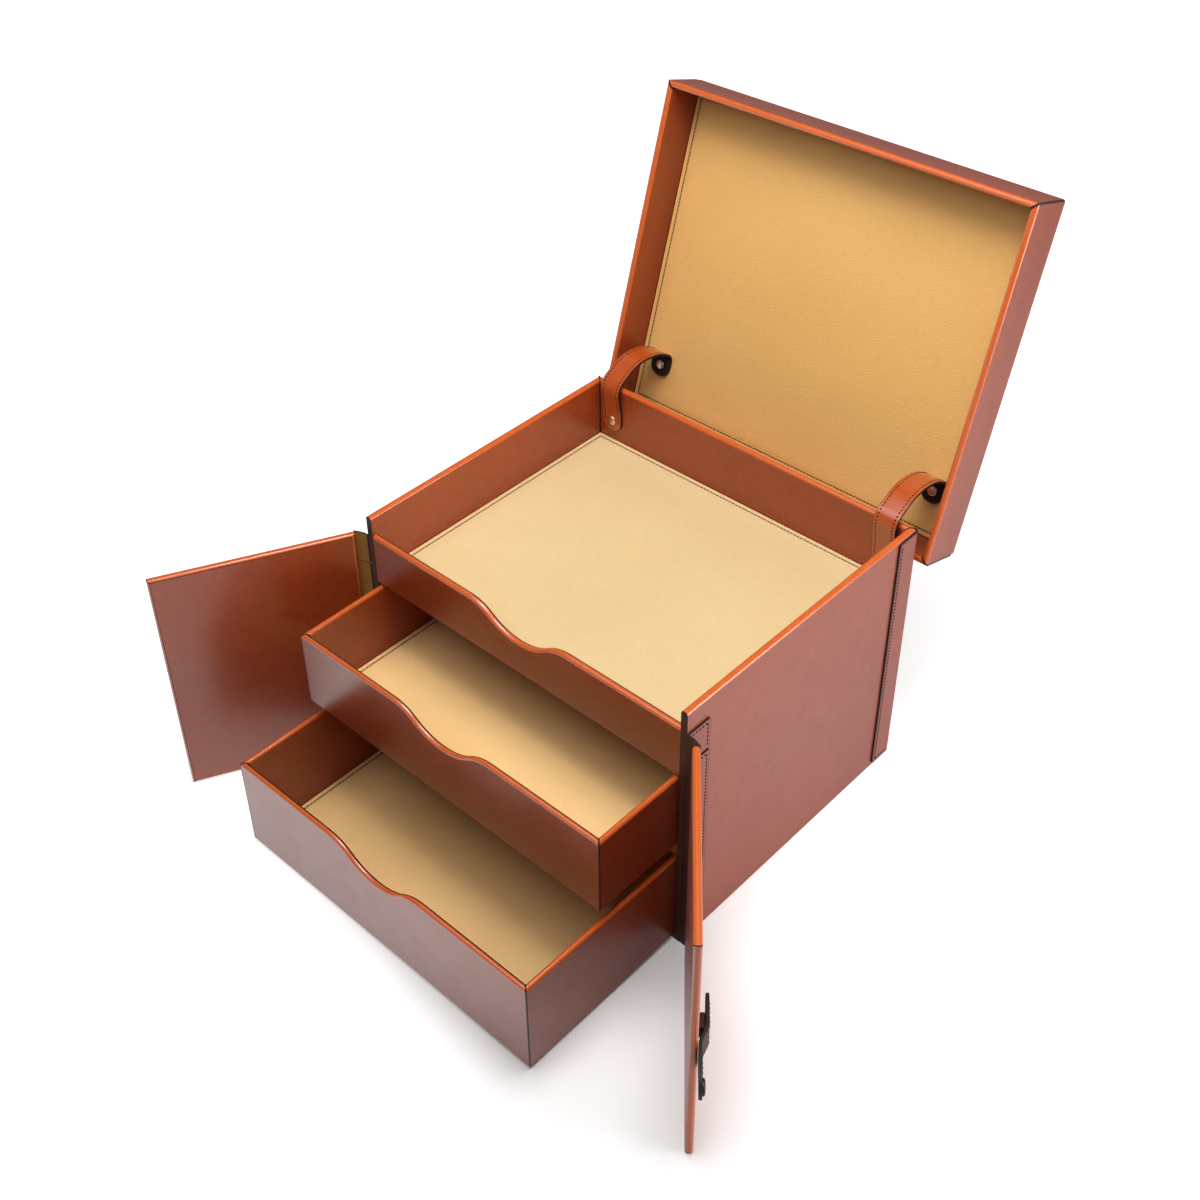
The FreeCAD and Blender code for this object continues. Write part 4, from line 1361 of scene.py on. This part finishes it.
@dataclass
class Door(Assembly):
    """Leather covered door, drawn shut about its hinge line."""

    side: Side
    angle: float
    hinge_out: float = 6.2
    hinge_forward: float = 1.3
    gap: float = 0.5
    thick: float = 6.0
    long: float = 164.5
    foot: float = 1.0
    top: float = 224.5
    roll: float = 2.3
    ink_line: float = 0.5
    ink_spare: float = 0.2

    @property
    def body(self) -> Body:
        """Body of this door."""
        return Body.LEFT_DOOR if self.side is Side.LEFT else Body.RIGHT_DOOR

    @property
    def axis(self) -> Vector:
        """Foot of the hinge line."""
        across = self.side * (SIZES.half_width + self.hinge_out)
        return Vector((across, -SIZES.half_depth - self.hinge_forward, 0))

    @property
    def frame(self) -> Matrix:
        """Placement of the open door at rest."""
        return Matrix.Translation(self.axis) @ Matrix.Rotation(self.side * math.radians(self.angle), 4, "Z")

    @property
    def face(self) -> float:
        """Outer face of the door in its own frame."""
        return self.hinge_forward - self.gap - self.thick

    def build(self) -> None:
        """Build the board and its hinge spans."""
        near, far = -self.side * self.hinge_out, -self.side * (self.hinge_out + self.long)
        low, high = sorted((near, far))
        board = Shape.box((low, self.face, self.foot), (high, self.face + self.thick, self.top))
        board.roll(board.edges(lambda a, b: abs(a.y - b.y) < NEAR), self.roll)
        self.ink_corners(board, far)
        self.settle(board, f"{self.side.word}_door", self.frame, self.body)
        hinge = DoorHinge()
        (tab, tab_tall), (leaf, leaf_tall), lap = hinge.tab, hinge.leaf, hinge.slit_lap
        self.span(hinge, "tab_span", tab - lap, tab_tall + lap)
        self.span(hinge, "span", leaf, leaf_tall + lap)

    def ink_corners(self, board: Shape, far: float) -> None:
        """Ink the mitres of the free edge, and paint a dark line along the foot of the roll on its inner
        side, mostly shade and partly edge ink.

        Args:
            board: The door under work.
            far: Place of the free edge along the door.
        """
        line = self.ink_line
        for level, up in ((self.top, 1.0), (self.foot, -1.0)):
            normal = Vector((-self.side, 0, -up)).normalized()
            start = Vector((far, 0, level))
            for shift in (-line, line):
                board.slice(start + normal * shift, normal)

            def on_mitre(face: Face) -> bool:
                """Whether a face lies on the line across this corner.

                Args:
                    face: The face.

                Returns:
                    Whether it is inked.
                """
                middle, reach = face.calc_center_median(), self.roll + self.ink_spare
                beside = abs(middle.x - far) < reach and abs(middle.z - level) < reach
                return beside and abs((middle - start).dot(normal)) < line

            board.paint(Skin.INK, on_mitre)
        # Dark line along the foot of the roll on the inner side: mostly painted shade, partly edge ink.
        board.paint(Skin.INK, lambda f: 0.95 < f.normal.y < 0.999 and self.rolled_over(f, far))

    def rolled_over(self, face: Face, far: float) -> bool:
        """Whether a face lies on the rolled top or free edge."""
        middle = face.calc_center_median()
        return abs(middle.x - far) < self.roll or middle.z > self.top - self.roll

    def span(self, hinge: DoorHinge, word: str, base: float, tall: float) -> None:
        """Free leather between the side wall and the door.

        Args:
            hinge: Sizes of the hinge.
            word: Name of the span.
            base: Level of its foot.
            tall: Its height.
        """
        side = self.side
        start = Vector((side * (SIZES.half_width + SIZES.strip / 2), -SIZES.half_depth, base + tall / 2))
        tip = self.frame @ Vector((-side * self.hinge_out, self.face, 0))
        end = Vector((tip.x, tip.y, start.z))
        out, back, rise = hinge.bow
        bow = start.lerp(end, hinge.bow_share) + Vector((side * out, back, rise))
        end -= (end - bow).normalized() * hinge.end_gap
        path = BentPath([start, bow, end], [hinge.bow_radius], 0.5)
        shape = Strip.free_span(path, tall, Vector((0, 0, side)))
        # On the right the span's inner side is dark umber, painted shade in place of suede.
        node, skins = f"{side.word}_hinge_{word}", self.palette.span(side is Side.LEFT)
        self.tie(shape, node, f"{node}_hide", skins, self.body, start, end)


@dataclass
class Stay(Assembly):
    """Riveted strap that holds the open lid."""

    side: Side
    lid: Lid
    width: float = 21.0
    thick: float = 2.2
    foot: float = 199.0
    lap: float = 17.5
    bulge: float = 4.5
    lift: float = 3.0
    rise: float = 18.0
    land: float = 57.0
    end: float = 35.5
    seat_gap: float = 0.3
    rivet_inset: float = 10.5
    bends: tuple[float, ...] = (30.0, 14.0, 40.0, 40.0, 8.0)
    crown_shares: tuple[Pair, ...] = ((0.33, 1.0), (0.72, 0.8))
    bend_from: Pair = (127.0, 214.0)
    bend_to: Pair = (180.0, 245.0)
    seam_inset: float = 2.9
    seam_end: float = 9.0
    glow: float = 0.6

    @property
    def seat(self) -> float:
        """Level of the strap's middle on the lid, in the lid's frame."""
        return self.lid.under - self.lid.lining - self.seat_gap - self.thick / 2

    @property
    def wall_y(self) -> float:
        """Middle of the strap where it lies on the rear wall."""
        return SIZES.half_depth - SIZES.wall - self.thick / 2

    def build(self) -> None:
        """Cut, sew and bend the strap."""
        x = self.side * SIZES.stay_reach
        landing = self.lid.frame @ Vector((x, -self.land, self.seat))
        tail = self.lid.frame @ Vector((x, -self.end, self.seat))
        route = [Vector((x, self.wall_y, self.foot)), Vector((x, self.wall_y, self.foot + self.lap)),
                 Vector((x, self.wall_y - self.bulge, SIZES.height + self.lift))]
        over = landing.y - self.wall_y
        for reach, rise in self.crown_shares:
            route.append(Vector((x, self.wall_y + reach * over, SIZES.height + rise * self.rise)))
        route += [landing, tail]
        path = BentPath(route, self.bends)
        leather = Strip(path.length, self.width, self.thick, corner=self.width * 0.47, edge=0.35, step=1.6)
        shape = leather.cut_out()
        leather.sew_edges(shape, self.seam_inset, self.seam_end, pitch=3.0)
        # The whole strap takes part of the painted rim highlight.
        for vert in shape.bm.verts:
            vert[shape.rim] = self.glow
        shape.paint(Skin.RIM, lambda f: f.material_index == Skin.HIDE)
        Strip.bend(shape, path, Vector((1, 0, 0)))
        start, end = Vector((x, *self.bend_from)), Vector((x, *self.bend_to))
        node = f"{self.side.word}_stay"
        self.tie(shape, node, f"{node}_strap", self.palette.hide(), Body.LID, start, end)

    def rivets(self) -> tuple[Matrix, Matrix]:
        """Seats of the rivets.

        Returns:
            The seat on the wall and the seat on the lid.
        """
        x = self.side * SIZES.stay_reach
        wall = Matrix.Translation((x, self.wall_y - self.thick / 2, self.foot + self.rivet_inset))
        level = self.seat - self.thick / 2 - self.seat_gap
        lid = self.lid.frame @ Matrix.Translation((x, -self.end - self.rivet_inset, level))
        return wall @ Matrix.Rotation(math.pi / 2, 4, "X"), lid @ Matrix.Rotation(math.pi, 4, "X")


@dataclass
class Closure(Assembly):
    """Strap over a keeper block on the right door, and the stud of the left door."""

    right: Door
    left: Door
    level: float = 111.996
    width: float = 22.0
    thick: float = 2.4
    tail: float = 46.5
    reach: float = 28.0
    gap: float = 0.3
    step_start: float = 17.5
    step_run: float = 12.0
    keeper_long: float = 12.5
    keeper_inset: float = 18.2
    keeper_tall: float = 12.0
    keeper_thick: float = 5.2
    stud_inset: float = 20.0
    stud: Rivet = Rivet(3.0, 2.6)
    cap: Rivet = Rivet(5.7, 2.1)
    edge_gap: float = 1.0
    bend: float = 5.0
    keeper_roll: float = 1.6
    seam_inset: float = 2.4
    seam_end: float = 10.0

    def build(self) -> None:
        """Build the strap, its block, the snap cap and the stud."""
        right, face = self.right, self.right.face
        edge = -right.hinge_out - right.long
        high, low = face - self.keeper_thick - self.thick / 2, face - self.gap - self.thick / 2
        step = edge + self.step_start
        stations = ((edge + self.tail, high), (step, high),
                    (step - self.step_run, low), (edge - self.reach, low))
        path = BentPath([Vector((x, y, self.level)) for x, y in stations], [self.bend] * 2)
        leather = Strip(path.length, self.width, self.thick, corner=self.width * 0.46, edge=0.4)
        strap = leather.cut_out()
        leather.sew_edges(strap, self.seam_inset, self.seam_end)
        Strip.bend(strap, path, Vector((0, 0, 1)))
        dark, skins = "dark_leather", self.palette.strap()
        self.settle(strap, "closure_strap", right.frame, right.body, dark, skins=skins)
        foot, start = self.level - self.keeper_tall / 2, edge + self.keeper_inset
        corner = (start + self.keeper_long, face, foot + self.keeper_tall)
        keeper = Shape.box((start, face - self.keeper_thick, foot), corner)
        outer = keeper.edges(lambda a, b: abs(a.y - b.y) > 1 or max(a.y, b.y) < face - 1)
        keeper.roll(outer, self.keeper_roll, segments=4, glow=0.5)
        self.settle(keeper, "closure_keeper", right.frame, right.body, dark, skins=skins)
        snap = edge - self.edge_gap - self.stud_inset
        spot = self.left.hinge_out + self.left.long - self.stud_inset
        self.turned(self.cap, (snap, low - self.thick / 2, self.level), right, "closure_snap_cap")
        self.turned(self.stud, (spot, face, self.level), self.left, "closure_stud")

    def turned(self, rivet: Rivet, seat: Point, door: Door, node: str) -> None:
        """Turn a metal fitting and set it on a door.

        Args:
            rivet: Its form.
            seat: Its seat in the door's frame.
            door: The door.
            node: Solid that it replaces.
        """
        shape = Shape()
        rivet.add(shape, Matrix.Translation(seat) @ Matrix.Rotation(math.pi / 2, 4, "X"))
        skins = [self.palette.dark_metal]
        self.settle(shape, node, door.frame, door.body, "fittings", f"{node}_turned", skins)


@dataclass
class Stays(Assembly):
    """Both stays and the rivets that hold them."""

    lid: Lid

    def build(self) -> None:
        """Build the straps, then the rivets of the wall and of the lid."""
        heads = (Shape(), Shape())
        for side in Side:
            stay = Stay(self.palette, side, self.lid)
            stay.build()
            for shape, seat in zip(heads, stay.rivets()):
                Rivet().add(shape, seat)
        names = (("wall", "case", Body.CASE), ("lid", "lid", Body.LID))
        for shape, (place, word, body) in zip(heads, names):
            self.settle(shape, f"stay_{word}_rivets", Matrix.Identity(4), body, "fittings",
                        f"stay_{place}_rivet_heads", [self.palette.metal])


@dataclass(frozen=True)
class Softbox:
    """Rectangular soft lamp aimed at the case."""

    name: str
    place: Point
    power: float
    size: Pair
    aim: Point = (0.03, -0.03, 0.14)

    def hang(self) -> None:
        """Hang the lamp in the scene."""
        data = bpy.data.lights.new(self.name, "AREA")
        data.energy = self.power
        data.shape = "RECTANGLE"
        data.size, data.size_y = self.size
        lamp = bpy.data.objects.new(self.name, data)
        lamp.location = self.place
        lamp.rotation_euler = (Vector(self.aim) - Vector(self.place)).to_track_quat("-Z", "Y").to_euler()
        bpy.context.scene.collection.objects.link(lamp)


@dataclass
class Studio:
    """Pale floor, soft light and the camera."""

    place: Point = (0.652543, -0.748938, 1.012443)
    turn: tuple[float, float, float, float] = (0.835375, 0.404641, 0.174714, 0.328464)
    focal: float = 1612.61
    centre: Pair = (554.16, 521.69)
    frame: float = 1200.0
    sensor: float = 36.0
    room_tone: Colour = (1.0, 0.99, 0.97)
    fill: float = 0.03
    mirrored_fill: float = 0.2
    floor_half: float = 8.0
    floor_tone: float = 0.65
    floor_white: float = 0.95
    floor_seen: Pair = (0.02, 0.62)
    floor_mirrored: Pair = (0.0, 0.8)
    sheen_toward: Point = (-0.707, -0.707, 0.0)
    sheen_reach: Pair = (0.03, 0.2)
    shadow_spot: Point = (0.2, -0.24, 0.0)
    shadow_reach: Pair = (0.07, 0.32)
    far_reach: Pair = (0.45, 1.2)
    mirrored_share: float = 0.32
    far_share: float = 0.38
    lamps: tuple[Softbox, ...] = (
        Softbox("key_softbox", (0.12, -0.08, 1.22), 9.0, (0.5, 0.5)),
        Softbox("broad_softbox", (0.1, -0.55, 1.3), 9.2, (1.5, 0.9)),
        Softbox("side_softbox", (1.3, 0.45, 0.36), 13.0, (0.8, 0.6)),
    )

    def build(self) -> None:
        """Set floor, lamps, world and camera."""
        scene = bpy.context.scene
        scene.view_settings.view_transform = "Standard"
        self.floor()
        self.camera()
        world = bpy.data.worlds.new("soft_room")
        world.use_nodes = True
        tree = world.node_tree
        sky = tree.nodes["Background"]
        sky.inputs["Color"].default_value = (*self.room_tone, 1.0)
        path = tree.nodes.new("ShaderNodeLightPath")
        level = tree.nodes.new("ShaderNodeMapRange")
        level.inputs["To Min"].default_value = self.fill
        level.inputs["To Max"].default_value = self.mirrored_fill
        tree.links.new(path.outputs["Is Glossy Ray"], level.inputs["Value"])
        shown = tree.nodes.new("ShaderNodeMath")
        shown.operation = "MAXIMUM"
        tree.links.new(path.outputs["Is Camera Ray"], shown.inputs[0])
        tree.links.new(level.outputs["Result"], shown.inputs[1])
        tree.links.new(shown.outputs[0], sky.inputs["Strength"])
        scene.world = world
        for lamp in self.lamps:
            lamp.hang()

    def floor(self) -> None:
        """Wide floor, white to the camera but for the case's shadow; to mirrored rays white at most."""
        bm = bmesh.new()
        bmesh.ops.create_grid(bm, x_segments=1, y_segments=1, size=self.floor_half)
        mesh = bpy.data.meshes.new("studio_floor")
        bm.to_mesh(mesh)
        bm.free()
        draw = NodeSketch("white_floor")
        draw.set(Roughness=0.7, Specular_IOR_Level=0.2, Emission_Color=(1.0, 1.0, 1.0, 1.0))
        path = draw.add("ShaderNodeLightPath").outputs
        dull, bright = (self.floor_tone,) * 3, (self.floor_white,) * 3
        draw.feed("Base Color", draw.mix(path["Is Camera Ray"], dull, bright))
        toward = draw.add("ShaderNodeVectorMath", operation="DOT_PRODUCT")
        draw.join(draw.place, toward.inputs[0])
        toward.inputs[1].default_value = self.sheen_toward
        ahead = draw.spread(toward.outputs["Value"], *self.floor_mirrored, *self.sheen_reach)
        reach = draw.add("ShaderNodeVectorMath", operation="DISTANCE")
        draw.join(draw.place, reach.inputs[0])
        reach.inputs[1].default_value = self.shadow_spot
        around = draw.spread(reach.outputs["Value"], *self.floor_seen, *self.shadow_reach)
        far = draw.spread(reach.outputs["Value"], 0.0, 1.0, *self.far_reach)
        glow = draw.add("ShaderNodeMath", operation="MULTIPLY")
        draw.join(path["Is Glossy Ray"], glow.inputs[0])
        draw.join(draw.total(ahead, around, self.mirrored_share), glow.inputs[1])
        both = draw.add("ShaderNodeMath", operation="MULTIPLY_ADD")
        draw.join(path["Is Camera Ray"], both.inputs[0])
        draw.join(draw.total(around, far, self.far_share), both.inputs[1])
        draw.join(glow.outputs[0], both.inputs[2])
        draw.feed("Emission Strength", both.outputs[0])
        mesh.materials.append(draw.material)
        floor = bpy.data.objects.new("studio_floor", mesh)
        bpy.context.scene.collection.objects.link(floor)

    def camera(self) -> None:
        """Camera at the photograph's angle, for a square frame."""
        data = bpy.data.cameras.new("photo_camera")
        data.sensor_width = self.sensor
        data.lens = self.sensor * self.focal / self.frame
        data.shift_x = 0.5 - self.centre[0] / self.frame
        data.shift_y = self.centre[1] / self.frame - 0.5
        camera = bpy.data.objects.new("photo_camera", data)
        camera.location = self.place
        camera.rotation_mode = "QUATERNION"
        camera.rotation_quaternion = self.turn
        bpy.context.scene.collection.objects.link(camera)
        bpy.context.scene.camera = camera


def dress_solids(frame: dict, palette: Palette) -> None:
    """Give the solids that stay in view their leather.

    Args:
        frame: Loaded frame of the solids.
        palette: Finishes of the case.
    """
    kept = ("case_floor", "tray_board", "left_runner", "right_runner", "middle_drawer_floor",
            "lower_drawer_floor")
    for name in kept:
        node = frame["nodes"][name]
        node.data.materials.clear()
        node.data.materials.append(palette.cognac)


def main() -> None:
    """Build the case piece by piece; each finished piece logs its face count."""
    logging.basicConfig(level=logging.INFO, format="%(message)s")
    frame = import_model()
    palette = Palette()
    Studio().build()
    dress_solids(frame, palette)
    lid = Lid(palette)
    left, right = Door(palette, Side.LEFT, angle=117.0), Door(palette, Side.RIGHT, angle=130.0)
    assemblies = (
        Carcass(palette),
        Drawer(palette, Body.MIDDLE_DRAWER, level=107.1, tall=69.9, out=82.7),
        Drawer(palette, Body.LOWER_DRAWER, level=4.3, tall=87.0, out=157.6),
        lid, left, right, Closure(palette, right, left), Stays(palette, lid),
    )
    for assembly in assemblies:
        assembly.build()


if __name__ == "__main__":
    main()
